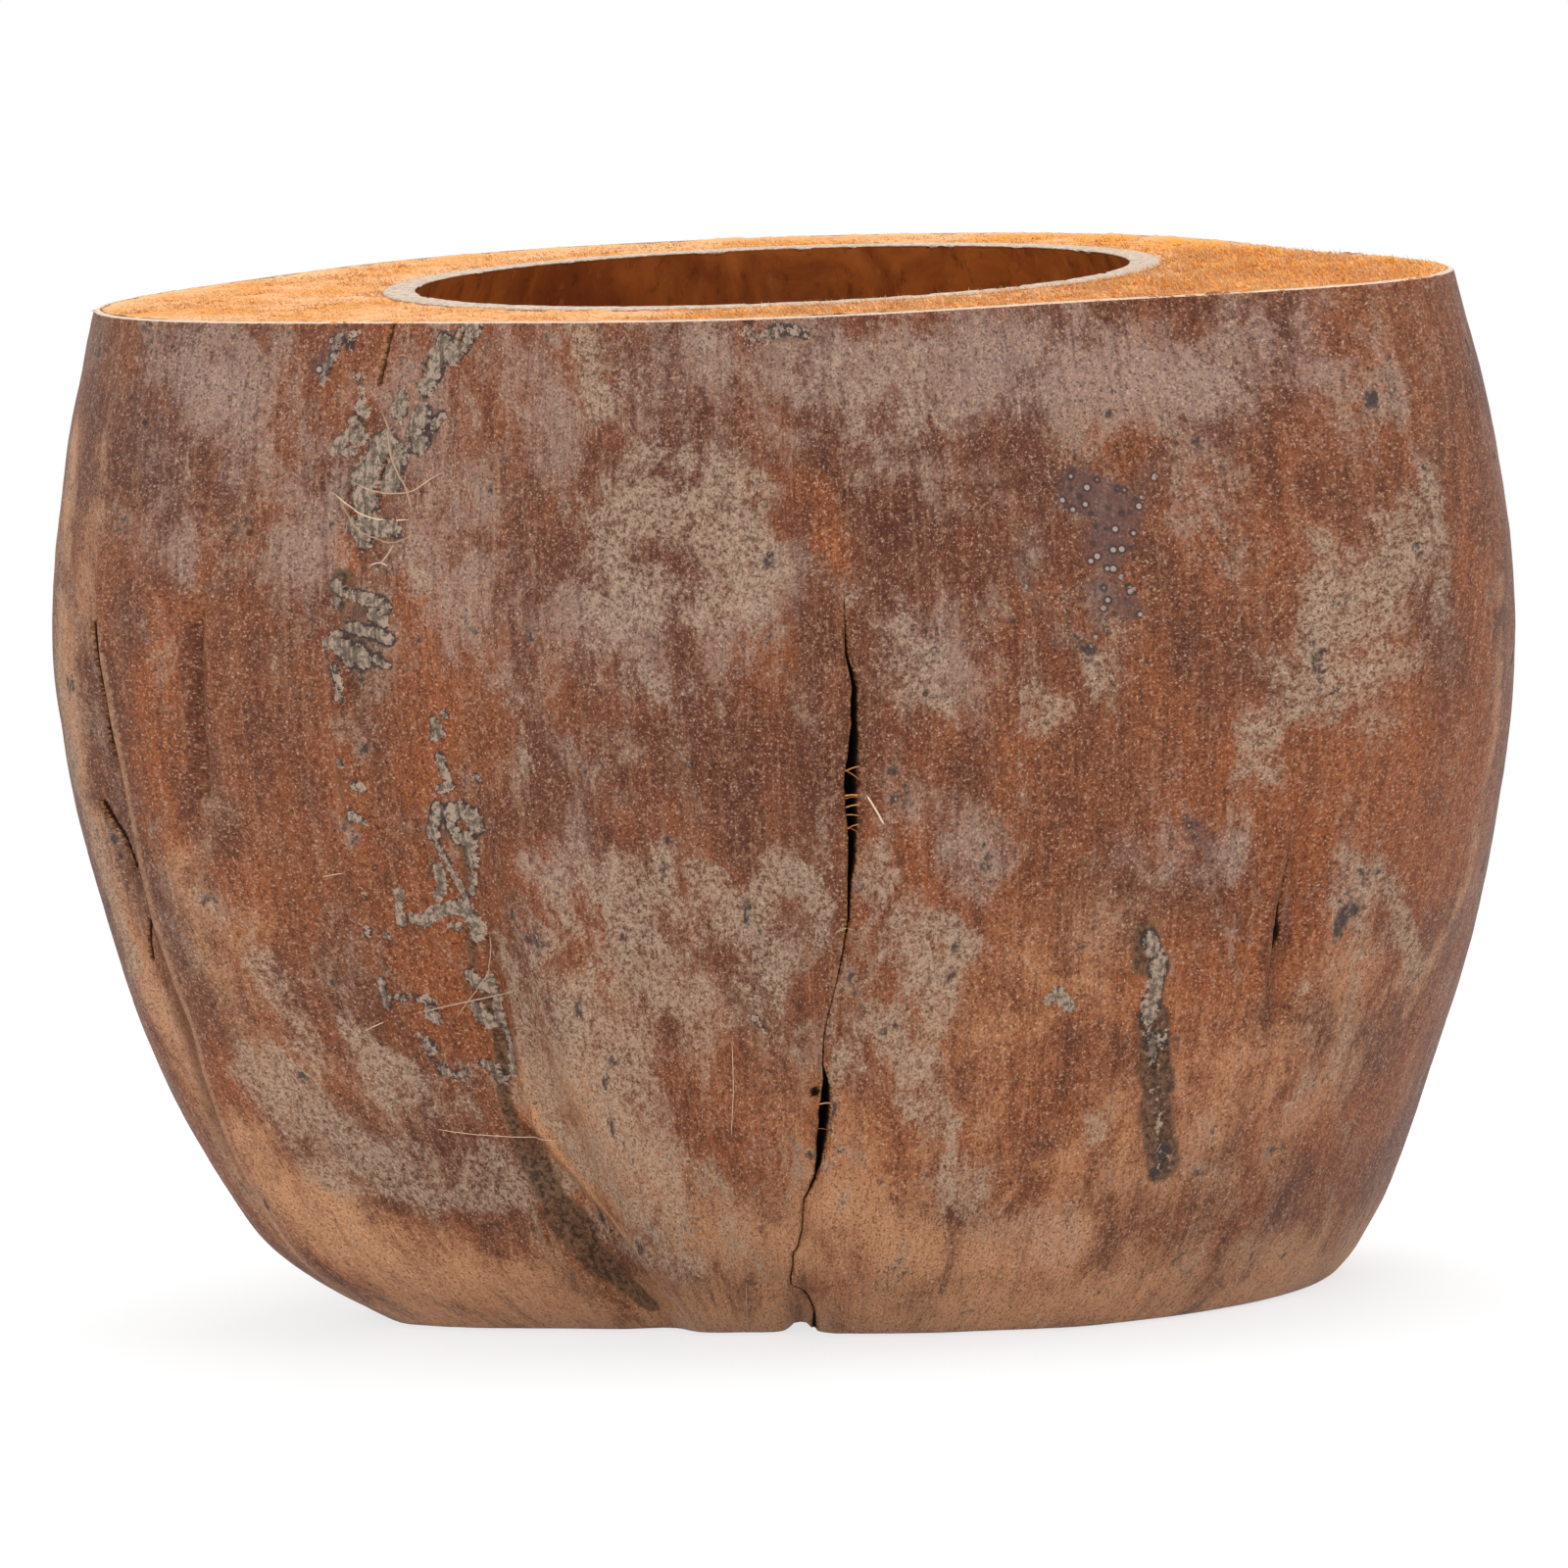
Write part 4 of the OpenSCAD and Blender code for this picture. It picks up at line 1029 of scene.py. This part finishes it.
def make_strands(name, lines, thickness, material, sides=5):
    """Makes thin round strands along lines, tapered at both ends, each with its own tone."""
    points, faces, tone, first = [], [], [], 0
    for number, (line, thick) in enumerate(zip(lines, thickness)):
        forward = np.gradient(line, axis=0)
        forward /= np.linalg.norm(forward, axis=1, keepdims=True) + 1e-9
        side = np.cross(forward, line * (1, 1, 0) + (0, 0, 1e-3))
        side /= np.linalg.norm(side, axis=1, keepdims=True) + 1e-9
        up = np.cross(side, forward)
        share = np.linspace(0, 1, len(line))
        radius = thick / 2 * np.clip(np.minimum(share, 1 - share) * 8 + 0.15, 0, 1)
        radius = radius[:, None]
        for angle in np.arange(sides) * 2 * math.pi / sides:
            points.append(line + radius * (math.cos(angle) * side + math.sin(angle) * up))
        step = np.arange(len(line) - 1)
        for k in range(sides):
            a, b = (first + j % sides * len(line) + step for j in (k, k + 1))
            faces.append(np.stack([a, b, b + 1, a + 1], 1))
        points.append(line[[0, -1]])
        starts = first + np.arange(sides) * len(line)
        ends = starts + len(line) - 1
        centre = first + sides * len(line)
        middle = np.full(sides, centre)
        faces.append(np.stack([middle, np.roll(starts, -1), starts], 1))
        faces.append(np.stack([middle + 1, ends, np.roll(ends, -1)], 1))
        tone.append(np.full(sides * len(line) + 2, (number * 0.37) % 1.0))
        first = centre + 2
    make_piece(name, np.concatenate(points), faces, material,
               marks={"tone": np.concatenate(tone)})


class BOWL_OT_skin(bpy.types.Operator):
    """Makes the dry skin of the husk, with its fold, crack, films and crusts"""

    bl_idname = "bowl.skin"
    bl_label = "Weathered skin"

    def execute(self, context):
        looks = context.scene.bowl_skin
        s = shared_surface(context)
        theta, z, reach = s["theta"], s["z"], s["reach"]
        rows, columns = theta.shape
        # The inside has fewer rows, and its highest is nearer to the outside
        inner = np.unique(np.append(np.arange(rows - 1, 0, -8), [rows - 1, 2, 0]))[::-1]
        depth = np.where(inner == rows - 1, 0.55, looks.thickness)[:, None]

        def both(outside, inside):
            """The values of the outside's rows, and after them those of the inside's."""
            return np.concatenate([
                part.reshape(-1, *outside.shape[2:]) for part in (outside, inside)])

        points = both(
            from_polar(theta, reach, z), from_polar(theta[inner], reach[inner] - depth, z[inner]))
        marks = {name: both(mark, mark[inner]) for name, mark in s["marks"].items()}
        marks["grain"] = both(s["grain"], s["grain"][inner]) * MM
        make_piece(
            "weathered_skin", points, [ring_faces(rows + len(inner), columns, closed=True)],
            skin_material(looks), ["skin"], marks)
        return {"FINISHED"}


class BOWL_OT_husk(bpy.types.Operator):
    """Makes the fibrous husk, sawn flat at the rim and at the foot, with the seat of the shell"""

    bl_idname = "bowl.husk"
    bl_label = "Sawn husk"

    def execute(self, context):
        looks = context.scene.bowl_coir
        shell = shell_form(context.scene.bowl_shell)
        around = np.arange(looks.columns) * 360 / looks.columns
        # How far the fibre stays inside the skin, and how much more at the crack and the fold
        rim_inset, foot_inset, side_inset, crack_inset, fold_inset = 0.95, 1.2, 2.5, 8.5, 4
        edge = radius_round(around, HEIGHT) - rim_inset
        foot_edge = radius_round(around, 0.0) - foot_inset
        # Radius, height and nearness to the skin of each ring, from the foot's middle outward
        rings = []
        for share in np.linspace(0.025, 1, 40):
            r = share * foot_edge
            rough = np.maximum(0.3 + 0.25 * layered(from_polar(around, r, 0), 2.2, 61), 0.02)
            rings.append((r, rough + notch(around) * share ** 30, 0))
        # The side
        heights = np.linspace(0.8, HEIGHT - 1.2, 46)
        side = husk_radius(np.tile(around, (len(heights), 1)), heights)
        crack = np.radians(around - along(heights, CRACK_PATH)[:, None]) * side
        lobe = np.radians(along(heights, LOBE_PATH)[:, None] - around) * side
        side -= side_inset + crack_inset * hill(crack, 5) + fold_inset * hill(lobe - 4, 8)
        rings += [
            (r, h + notch(around) * (1 - h / HEIGHT) ** 12, 1) for h, r in zip(heights, side)]
        # The sawn rim, whose fibres stand as high as the skin beside them
        seat = shell["outer"](HEIGHT)[0] + 0.1
        for share in np.linspace(0, 1, looks.rings):
            r = edge + (seat - edge) * share
            flat = from_polar(around, r, 0)
            rise = 0.24 * layered(flat, 1.5, 67, 2) + 0.16 * layered(flat, 8, 71, 2)
            rise += 0.3 * np.exp((r - edge) / 1.6) - 0.3
            rings.append((r, HEIGHT + rise, np.exp((r - edge) / 2.2)))
        # The seat of the shell, down to its bottom
        for t in np.radians(np.linspace(shell["top"] - 0.6, -88, 34)):
            h = shell["z"] + (shell["b"] + 0.1) * math.sin(t)
            rings.append((shell["a"] * math.cos(t) + 0.1, h, 0))
        points, *_, rind = lathed(around, rings)
        tone = 0.42 + 0.2 * layered(points, 3, 73) - 0.2 * smoothstep(20, 80, points[..., 0])
        ends = (0, 0, 0.3), (0, 0, shell["z"] - shell["b"] - 0.1)
        make_piece(
            "sawn_husk", with_ends(points, *ends), lathed_faces(*rind.shape),
            coir_material(looks), ["coir_husk"],
            {"tone": with_ends(tone, 0.4, 0.4), "rind": with_ends(rind, 0, 0)})
        return {"FINISHED"}


class BOWL_OT_fibre_ends(bpy.types.Operator):
    """Makes the short ends of the fibres that stand up all over the sawn rim"""

    bl_idname = "bowl.fibre_ends"
    bl_label = "Sawn fibre ends"

    def execute(self, context):
        looks = context.scene.bowl_coir
        draw = np.random.default_rng(looks.seed)
        # The ends keep clear of the shell and of the skin's sawn edge
        shell_gap, skin_gap = 0.25, 0.9
        seat = shell_form(context.scene.bowl_shell)["outer"](HEIGHT)[0] + shell_gap
        around = np.arange(720) / 2
        spots = draw.uniform(-110, 110, (looks.ends * 4, 2))
        r = np.hypot(spots[:, 0], spots[:, 1])
        a = np.degrees(np.arctan2(spots[:, 1], spots[:, 0])) % 360
        limit = np.interp(a, around, radius_round(around, HEIGHT) - skin_gap, period=360)
        inside = (r > seat) & (r < limit)
        spots, r, a, limit = (v[inside][:looks.ends] for v in (spots, r, a, limit))
        n = len(spots)
        # They are longest at the right front, where the saw tore the husk
        shaggy = 0.5 + 1.1 * smoothstep(0.35, 0.75, np.cos(np.radians(a - 318)))
        length = np.minimum(looks.end_length * draw.lognormal(0, 0.4, n) * shaggy, 1.2)
        lean = np.stack([draw.normal(-0.55, 0.55, n), draw.normal(-0.35, 0.5, n)], 1)
        width = draw.uniform(0.09, 0.17, n)
        turn = draw.uniform(0, 2 * math.pi, n)
        # They start a little below the husk's surface
        sunk, hidden = 0.45, 0.2
        base = np.column_stack([spots, np.full(n, HEIGHT - sunk)])
        whole_length = (length + hidden)[:, None]
        tip = base + np.column_stack([lean * whole_length, whole_length])
        corners = [
            base + from_polar(np.degrees(turn) + k, width, 0) for k in (0, 120, 240)]
        points = np.stack([*corners, tip], 1).reshape(-1, 3)
        first = np.arange(n)[:, None] * 4
        faces = [first + sides for sides in ((0, 1, 3), (1, 2, 3), (2, 0, 3), (0, 2, 1))]
        tone, rind = (np.repeat(v, 4) for v in (draw.beta(2, 2, n), np.exp(-(limit - r) / 2.2)))
        make_piece("sawn_fibre_ends", points, faces, coir_material(looks),
                   marks={"tone": tone, "rind": rind})
        return {"FINISHED"}


def shell_form(looks):
    """Half axes and middle of the shell's outside, as the solid has them, and its rim."""
    points = coordinates("shell")
    reach = np.hypot(points[:, 0], points[:, 1])
    a, middle = reach.max(), points[reach.argmax(), 2]
    b = middle - points[:, 2].min()
    rise = HEIGHT - middle
    return {
        "a": a, "b": b, "z": middle, "wall": looks.wall,
        "outer": lambda z: a * np.sqrt(1 - ((np.atleast_1d(z) - middle) / b) ** 2),
        "top": math.degrees(math.asin(rise / b)),
        "inner_top": math.degrees(math.asin(rise / (b - looks.wall))),
    }


def pore_places(shell):
    """Middle, outward direction and radius of each germ pore, from the plugs that close them."""
    places = {}
    a, b = (shell[axis] - shell["wall"] / 2 for axis in "ab")
    for node in PORES:
        points = coordinates(node)
        middle = (points.min(0) + points.max(0)) / 2
        out = middle * (1 / a ** 2, 1 / a ** 2, 0) + (0, 0, (middle[2] - shell["z"]) / b ** 2)
        out /= np.linalg.norm(out)
        flat = points - middle
        flat -= np.outer(flat @ out, out)
        places[node] = (middle, out, np.linalg.norm(flat, axis=1).max())
    return places


class BOWL_OT_shell(bpy.types.Operator):
    """Makes the hard shell cup, with its sawn lip and the pits of the germ pores"""

    bl_idname = "bowl.shell"
    bl_label = "Hard shell"

    def execute(self, context):
        looks = context.scene.bowl_shell
        s = shell_form(looks)
        a_in, b_in, top = s["a"] - s["wall"], s["b"] - s["wall"], s["inner_top"]
        around = np.arange(looks.columns) * 360 / looks.columns
        outside = np.radians(np.linspace(-89, s["top"] - 0.25, 60))
        rings = [(s["a"] * math.cos(t), s["z"] + s["b"] * math.sin(t)) for t in outside]
        # The sawn lip, which is rough, and chipped along its inner edge
        chip_depth, chip_width, roughness = 0.8, 0.35, 0.05
        rim_out, rim_in = s["outer"](HEIGHT)[0], a_in * math.cos(math.radians(top))
        chip = looks.chips * smoothstep(0.3, 0.7, layered(from_polar(around, 51, 0), 2.6, 83, 2))
        shares = (0, 0.04, 0.15, 0.3, 0.45, 0.6, 0.75, 0.85, 0.92, 0.97, 1)
        for share in shares:
            broken = chip * smoothstep(0.8, 1.0, share)
            r = rim_out + (rim_in - rim_out) * share
            rough = roughness * layered(from_polar(around, r, 0), 1.2, 87, 2)
            down = 0.03 + 0.12 * (share in (0, 1)) + chip_depth * broken
            rings.append((r + chip_width * broken, HEIGHT - down + rough))
        # The inside, with the closest rows where the pores lie
        arc = np.concatenate([
            np.linspace(top - 0.25, top - 3, 8), np.linspace(top - 4, -58, 64),
            np.linspace(-58.6, -84, 66), np.linspace(-85, -89.2, 6)])
        rings += [(a_in * math.cos(t), s["z"] + b_in * math.sin(t)) for t in np.radians(arc)]
        points, r, z = lathed(around, rings)
        number = np.arange(len(rings))[:, None]
        is_outer, inside = number < len(outside), number >= len(outside) + len(shares)
        out = points * (1 / s["a"] ** 2, 1 / s["a"] ** 2, 0)
        out[..., 2] = (z - s["z"]) / s["b"] ** 2
        out /= np.linalg.norm(out, axis=-1, keepdims=True)
        # Slow waves and faint ribs of the scraped wall, none at the sawn rim
        waves = 0.22 * layered(points, (16, 16, 22), 91, 2)
        waves += 0.07 * layered(points, (3, 3, 9), 93, 2)
        calm = smoothstep(HEIGHT, HEIGHT - 3, z)
        points += out * (np.abs(waves) * calm * inside)[..., None]
        # Each pore is a pit on both sides of the wall, in a low swelling on the inside
        pit_depth, swell_height, nearby = 1.8, 0.5, 8
        for middle, axis, radius in pore_places(s).values():
            away = points - middle
            deep = away @ axis
            away = np.linalg.norm(away - deep[..., None] * axis, axis=-1)
            pit = smoothstep(radius + 0.25, radius - 0.15, away)
            swell = swell_height * hill(away - radius - 1.6, 1.1) * inside
            move = np.where(inside, 1, -1) * (pit_depth * pit - swell)
            points += axis * (move * (np.abs(deep) < nearby))[..., None]
        # The lip's last three rings are where the chips show
        chipped = chip * (number >= len(outside) + len(shares) - 3)
        sawn = np.clip(~(is_outer | inside) - 0.6 * chipped, 0, 1)
        outer = np.broadcast_to(is_outer, r.shape)
        ends = (0, 0, s["z"] - s["b"]), (0, 0, s["z"] - b_in)
        make_piece(
            "cup_shell", with_ends(points, *ends), lathed_faces(*r.shape),
            shell_material(looks), ["shell"],
            {"sawn": with_ends(sawn, 0, 0), "outer": with_ends(outer, 1, 0)})
        return {"FINISHED"}


class BOWL_OT_membranes(bpy.types.Operator):
    """Makes the wrinkled membranes that close the three germ pores in the floor of the cup"""

    bl_idname = "bowl.membranes"
    bl_label = "Pore membranes"

    def execute(self, context):
        looks = context.scene.bowl_shell
        s = shell_form(looks)
        material = membrane_material(looks)
        count, draw = 96, np.random.default_rng(7)
        # Half of a membrane's thickness, which is set back from both faces of the wall
        half = s["wall"] / 2 - 0.8
        # Share of the radius, and height from the middle of the wall, of each ring
        rings = [(share, -half) for share in (0.1, 0.4, 0.7, 0.95)]
        rings += [(0.99, -half + 0.2), (0.99, half - 0.2)]
        rings += [(share, half) for share in np.linspace(0.97, 0.05, 22)]
        turn = np.arange(count) * 2 * math.pi / count
        for node, (middle, out, radius) in pore_places(s).items():
            up = -out
            east = np.cross((0.0, 1.0, 0.0), up)
            east /= np.linalg.norm(east)
            axes = np.array([east, np.cross(up, east), up])
            folds = draw.integers(7, 11)
            points = []
            for share, h in rings:
                wrinkle = np.cos(folds * turn + 2.5 * share) * share * (1 - share) * 0.9
                dent = -0.5 * (1 - share ** 2) + 0.12 * np.cos(share * 26)
                rise = h + (wrinkle + dent) * (h > half - 0.1)
                points.append(from_polar(np.degrees(turn), (radius - 0.03) * share, rise))
            points = with_ends(np.array(points), (0, 0, -half), (0, 0, half - 0.5))
            make_piece(PORES[node], middle + points @ axes, lathed_faces(len(rings), count),
                       material, [node])
        return {"FINISHED"}


class BOWL_OT_strands(bpy.types.Operator):
    """Makes the loose fibres: on the skin, across the crack, and frayed at the rim"""

    bl_idname = "bowl.strands"
    bl_label = "Loose fibres"

    def execute(self, context):
        surface = shared_surface(context)
        draw = np.random.default_rng(context.scene.bowl_coir.seed + 1)
        lines, thickness = [], []
        for thick, *path in SURFACE_STRANDS:
            path = np.reshape(path, (-1, 2))
            lines.append(on_skin(surface, curve_through(path, 10 * len(path)), 0.06))
            thickness.append(thick)
        make_strands("surface_strands", lines, thickness,
                     fibre_material("dry_straw_fibre", "#9c8069", "#d9c0a4"))

        # The fibres across the crack sag into it, and hold on a little beyond its lips
        lines, thickness, hold, skin_radius = [], [], 0.15, 78
        for z in CRACK_BRIDGES:
            width = math.degrees((along(z, CRACK_HALF_WIDTHS) + hold) / skin_radius)
            ends = np.linspace(-width, width, 5) + along(z, CRACK_PATH)
            sag = np.array([-0.1, -0.5, -0.9, -0.6, -0.15]) * draw.uniform(0.7, 1.2)
            drop = np.linspace(0, draw.normal(0, 0.5), 5)
            line = from_polar(ends, radius_round(ends, z) + sag, z + drop)
            lines.append(curve_through(line, 16))
            thickness.append(draw.uniform(0.1, 0.24))
        # The tufts lean out over the skin, and arch a little
        for middle, spread, number, length in RIM_TUFTS:
            for _ in range(number):
                a = draw.normal(middle, spread)
                out = from_polar(a, 1, 0)
                start = from_polar(a, radius_round(a, HEIGHT)[0] - 0.5, HEIGHT - 0.2)
                turn = np.array([-out[1], out[0], 0]) * draw.normal(0, 0.8)
                reach = length * draw.uniform(0.5, 1.2)
                way = out * draw.uniform(0.1, 0.5) + turn
                way *= reach / np.linalg.norm(way)
                rise = np.array([0, 0, 2 * reach * draw.uniform(0.0, 0.35)])
                line = [start + way * t + rise * t * (1 - t) for t in (0, 0.3, 0.65, 1)]
                lines.append(curve_through(line, 10))
                thickness.append(draw.uniform(0.1, 0.22))
        make_strands("frayed_fibres", lines, thickness,
                     fibre_material("frayed_coir_fibre", "#8f5526", "#d99a56"))
        return {"FINISHED"}


def aimed(obj, place, target):
    """Puts a light or camera at a place, in metres, and points it at a target."""
    obj.location = place
    obj.rotation_euler = (Vector(target) - Vector(place)).to_track_quat("-Z", "Y").to_euler()
    bpy.context.scene.collection.objects.link(obj)


def seen_directly(m):
    """1 for rays from the camera, a mirror or glass, so that these see the white background."""
    path = add(m, "LightPath").outputs
    shares = [path[kind] for kind in ("Is Camera Ray", "Is Glossy Ray", "Is Transmission Ray")]
    either = add(m, "Math", {0: shares[0], 1: shares[1]}, operation="MAXIMUM")
    return add(m, "Math", {0: either, 1: shares[2]}, operation="MAXIMUM")


class BOWL_OT_stage(bpy.types.Operator):
    """Makes the pale floor, the soft studio light and the camera"""

    bl_idname = "bowl.stage"
    bl_label = "Stage and camera"

    def execute(self, context):
        looks = context.scene.bowl_stage
        scene = context.scene
        scene.view_settings.view_transform = "Standard"

        # Camera: a long lens a little above the rim, turned so that the rim rises to the right
        data = bpy.data.cameras.new("camera")
        data.sensor_width, data.lens = 36, looks.lens
        data.clip_start, data.clip_end = 0.05, 50
        scene.camera = bpy.data.objects.new("camera", data)
        aimed(scene.camera, (looks.side_step, -looks.distance, looks.eye_height),
              (looks.side_step, 0, looks.aim_height))
        tilt = scene.camera.rotation_euler.to_matrix() @ Matrix.Rotation(-looks.roll, 3, "Z")
        scene.camera.rotation_euler = tilt.to_euler()

        white = {"Color": (1, 1, 1, 1)}
        world = bpy.data.worlds.new("studio")
        world.use_nodes = True
        world.node_tree.nodes.clear()
        dim = add(world, "Background", {**white, "Strength": looks.ambient})
        full = add(world, "Background", {**white, "Strength": 1.0})
        shown = add(world, "MixShader", {0: seen_directly(world), 1: dim, 2: full})
        add(world, "OutputWorld", {"Surface": shown})
        scene.world = world

        # Floor: white paper, on which only the shadow close to the bowl shows
        m = new_material("white_paper_floor")
        paper = add(m, "BsdfDiffuse", {"Color": opaque("#e6e6e6")})
        shade = add(m, "BsdfDiffuse", {"Color": (0.3, 0.3, 0.3, 1)})
        glow = add(m, "Emission", {**white, "Strength": 0.72})
        near = add(m, "AddShader", {0: shade, 1: glow})
        place = add(m, "TexCoord").outputs["Object"]
        far = add(m, "VectorMath", {0: place}, operation="LENGTH").outputs["Value"]
        fade = add(m, "MapRange", {0: far, 1: 0.16, 2: 0.42}, **SMOOTH)
        plain = add(m, "Emission", {**white, "Strength": 1.0})
        seen = add(m, "MixShader", {0: fade, 1: near, 2: plain})
        both = add(m, "MixShader", {0: seen_directly(m), 1: paper, 2: seen})
        add(m, "OutputMaterial", {"Surface": both})

        # Rings of the floor by their radii in mm, a little below the foot
        radii, count, drop = np.array([[50], [300], [1000], [4000]]), 96, -0.3
        around = np.tile(np.arange(count) * 360 / count, (len(radii), 1))
        points = [*from_polar(around, radii, drop).reshape(-1, 3), (0, 0, drop)]
        i = np.arange(count)
        middle = np.stack([np.full(count, len(points) - 1), i, (i + 1) % count], 1)
        faces = [*middle.tolist(), *ring_faces(len(radii), count)[:, ::-1].tolist()]
        mesh = bpy.data.meshes.new("floor")
        mesh.from_pydata((np.array(points) * MM).tolist(), [], faces)
        mesh.materials.append(m)
        floor = bpy.data.objects.new("floor", mesh)
        scene.collection.objects.link(floor)

        # Lights: name, place, height they aim at, size and watts
        for name, place, aim, size, watts in (
            ("key", (-0.9, -1.9, 0.8), 0.07, (1.3, 1.0), looks.key),
            ("fill", (1.2, -1.7, 0.3), 0.07, (1.2, 0.5), looks.fill),
            ("low", (-0.2, -1.5, 0.12), 0.05, (1.8, 0.22), looks.low),
            ("top", (0.1, 0.2, 1.7), 0.07, (1.3, 1.3), looks.top),
            ("left_strip", (-1.3, 0.25, 0.35), 0.07, (0.35, 1.1), looks.strips),
            ("right_strip", (1.3, 0.25, 0.35), 0.07, (0.35, 1.1), looks.strips),
            ("back", (0, 2.0, 0.9), 0.07, (1.4, 0.9), looks.back),
        ):
            light = bpy.data.lights.new(name, "AREA")
            light.shape, light.size, light.size_y, light.energy = "RECTANGLE", *size, watts
            aimed(bpy.data.objects.new(name, light), place, (0, 0, aim))
        return {"FINISHED"}


def colour(name, description, code):
    """A colour property whose default is a hex code."""
    return bpy.props.FloatVectorProperty(
        name=name, description=description, subtype="COLOR", size=3, min=0, max=1,
        default=linear(code))


def amount(name, description, default, **more):
    """A property that holds a number with a fraction."""
    return bpy.props.FloatProperty(name=name, description=description, default=default, **more)


def whole(name, description, default, **more):
    """A property that holds a whole number."""
    return bpy.props.IntProperty(name=name, description=description, default=default, **more)


class BOWL_PG_skin(bpy.types.PropertyGroup):
    """Sizes and colours of the skin"""

    rows: whole("Rows", "Rows of faces up the skin", 330, min=60, max=600)
    thickness: amount("Thickness", "Thickness of the dry skin in mm", 0.8, min=0.3, max=3)
    crack_width: amount(
        "Crack width", "Width of the drying crack at its widest in mm", WIDEST_CRACK,
        min=0.3, max=4)
    crack_depth: amount("Crack depth", "Depth of the drying crack in mm", 5.5, min=1, max=9)
    bare: colour("Bare skin", "Red brown of the bare skin", "#854a29")
    deep: colour("Deep skin", "Darker brown of the bare skin", "#663a28")
    mauve: colour("Mauve bloom", "Grey mauve bloom near the rim", "#a4887b")
    maroon: colour("Maroon", "Dark red brown patches", "#5f3120")
    rust: colour("Rust", "Orange brown of the rubbed sides", "#945028")
    tan: colour("Tan", "Paler tan of the skin towards the foot", "#cd966c")
    dust: colour("Dust", "Grey beige film of dust", "#ae947e")
    crust: colour("Crust", "Pale grey brown of the limy crusts", "#a8917f")
    edge: colour("Cut edge", "Cream of the sawn edge of the skin", "#e6cbb4")


class BOWL_PG_coir(bpy.types.PropertyGroup):
    """Sizes and colours of the fibrous husk"""

    columns: whole("Columns", "Columns of faces round the husk", 720, min=120, max=1440)
    rings: whole("Rings", "Rings of faces across the sawn rim", 72, min=12, max=160)
    ends: whole("Fibre ends", "Number of fibre ends on the rim", 26000, min=0, max=60000)
    end_length: amount("End length", "Usual length of a fibre end in mm", 0.36, min=0.1, max=3)
    seed: whole("Seed", "Start of the random numbers", 12, min=0)
    light: colour("Light coir", "Lighter tan of the sawn fibre", "#eab180")
    deep: colour("Deep coir", "Deeper orange of the sawn fibre", "#dc9349")


class BOWL_PG_shell(bpy.types.PropertyGroup):
    """Sizes and colours of the hard shell"""

    wall: amount("Wall", "Wall of the shell in mm", 4.0, min=2, max=8)
    chips: amount("Chips", "How far the inner lip is chipped, as a share", 0.8, min=0, max=2)
    columns: whole("Columns", "Columns of faces round the shell", 480, min=96, max=1200)
    deep: colour("Deep brown", "Dark brown of the scraped inside", "#80411d")
    amber: colour("Amber", "Lighter brown of the scraped inside", "#ac6229")
    sawn: colour("Sawn lip", "Pale grey brown of the sawn lip", "#c6b09a")
    pore: colour("Membrane", "Brown of the pore membranes", "#4f3220")


class BOWL_PG_stage(bpy.types.PropertyGroup):
    """Camera and lights"""

    lens: amount("Lens", "Focal length in mm", 333.07, min=50, max=600)
    distance: amount("Distance", "Distance of the camera", 2.0, min=0.5, unit="LENGTH")
    eye_height: amount("Eye height", "Height of the camera", 0.2931, unit="LENGTH")
    aim_height: amount("Aim height", "Height it looks at", 0.0702, unit="LENGTH")
    side_step: amount("Side step", "Camera and aim to the right", -0.0012, unit="LENGTH")
    roll: amount("Roll", "Turn of the picture", math.radians(2.3), unit="ROTATION")
    ambient: amount("Ambient", "Strength of the light from all round", 0.55, min=0)
    key: amount("Key", "Watts of the key light", 11, min=0)
    fill: amount("Fill", "Watts of the fill light", 7, min=0)
    low: amount("Low", "Watts of the light near the floor", 9, min=0)
    top: amount("Top", "Watts of the top light", 21.5, min=0)
    strips: amount("Strips", "Watts of each side strip", 3.5, min=0)
    back: amount("Back", "Watts of the back light", 6, min=0)


class BOWL_PT_panel(bpy.types.Panel):
    """Lists the steps that make the bowl, and the sizes and colours of its parts"""

    bl_idname = "BOWL_PT_panel"
    bl_label = "Coconut shell bowl"
    bl_space_type = "VIEW_3D"
    bl_region_type = "UI"
    bl_category = "Bowl"

    def draw(self, context):
        for step in STEPS:
            self.layout.operator(step.bl_idname)
        for name, group in GROUPS.items():
            box = self.layout.box()
            for value in group.__annotations__:
                box.prop(getattr(context.scene, name), value)


GROUPS = {
    "bowl_skin": BOWL_PG_skin,
    "bowl_coir": BOWL_PG_coir,
    "bowl_shell": BOWL_PG_shell,
    "bowl_stage": BOWL_PG_stage,
}
STEPS = (
    BOWL_OT_stage, BOWL_OT_skin, BOWL_OT_husk, BOWL_OT_fibre_ends,
    BOWL_OT_shell, BOWL_OT_membranes, BOWL_OT_strands,
)
CLASSES = (*GROUPS.values(), *STEPS, BOWL_PT_panel)


def register():
    """Registers the classes, and hangs the groups of sizes on the scene."""
    for item in CLASSES:
        bpy.utils.register_class(item)
    for name, group in GROUPS.items():
        setattr(bpy.types.Scene, name, bpy.props.PointerProperty(type=group))


def unregister():
    """Takes the groups and the classes away again."""
    for name in GROUPS:
        delattr(bpy.types.Scene, name)
    for item in reversed(CLASSES):
        bpy.utils.unregister_class(item)


def main():
    """Makes every piece in order."""
    register()
    for step in STEPS:
        group, _, name = step.bl_idname.partition(".")
        getattr(getattr(bpy.ops, group), name)()


if __name__ == "__main__":
    main()
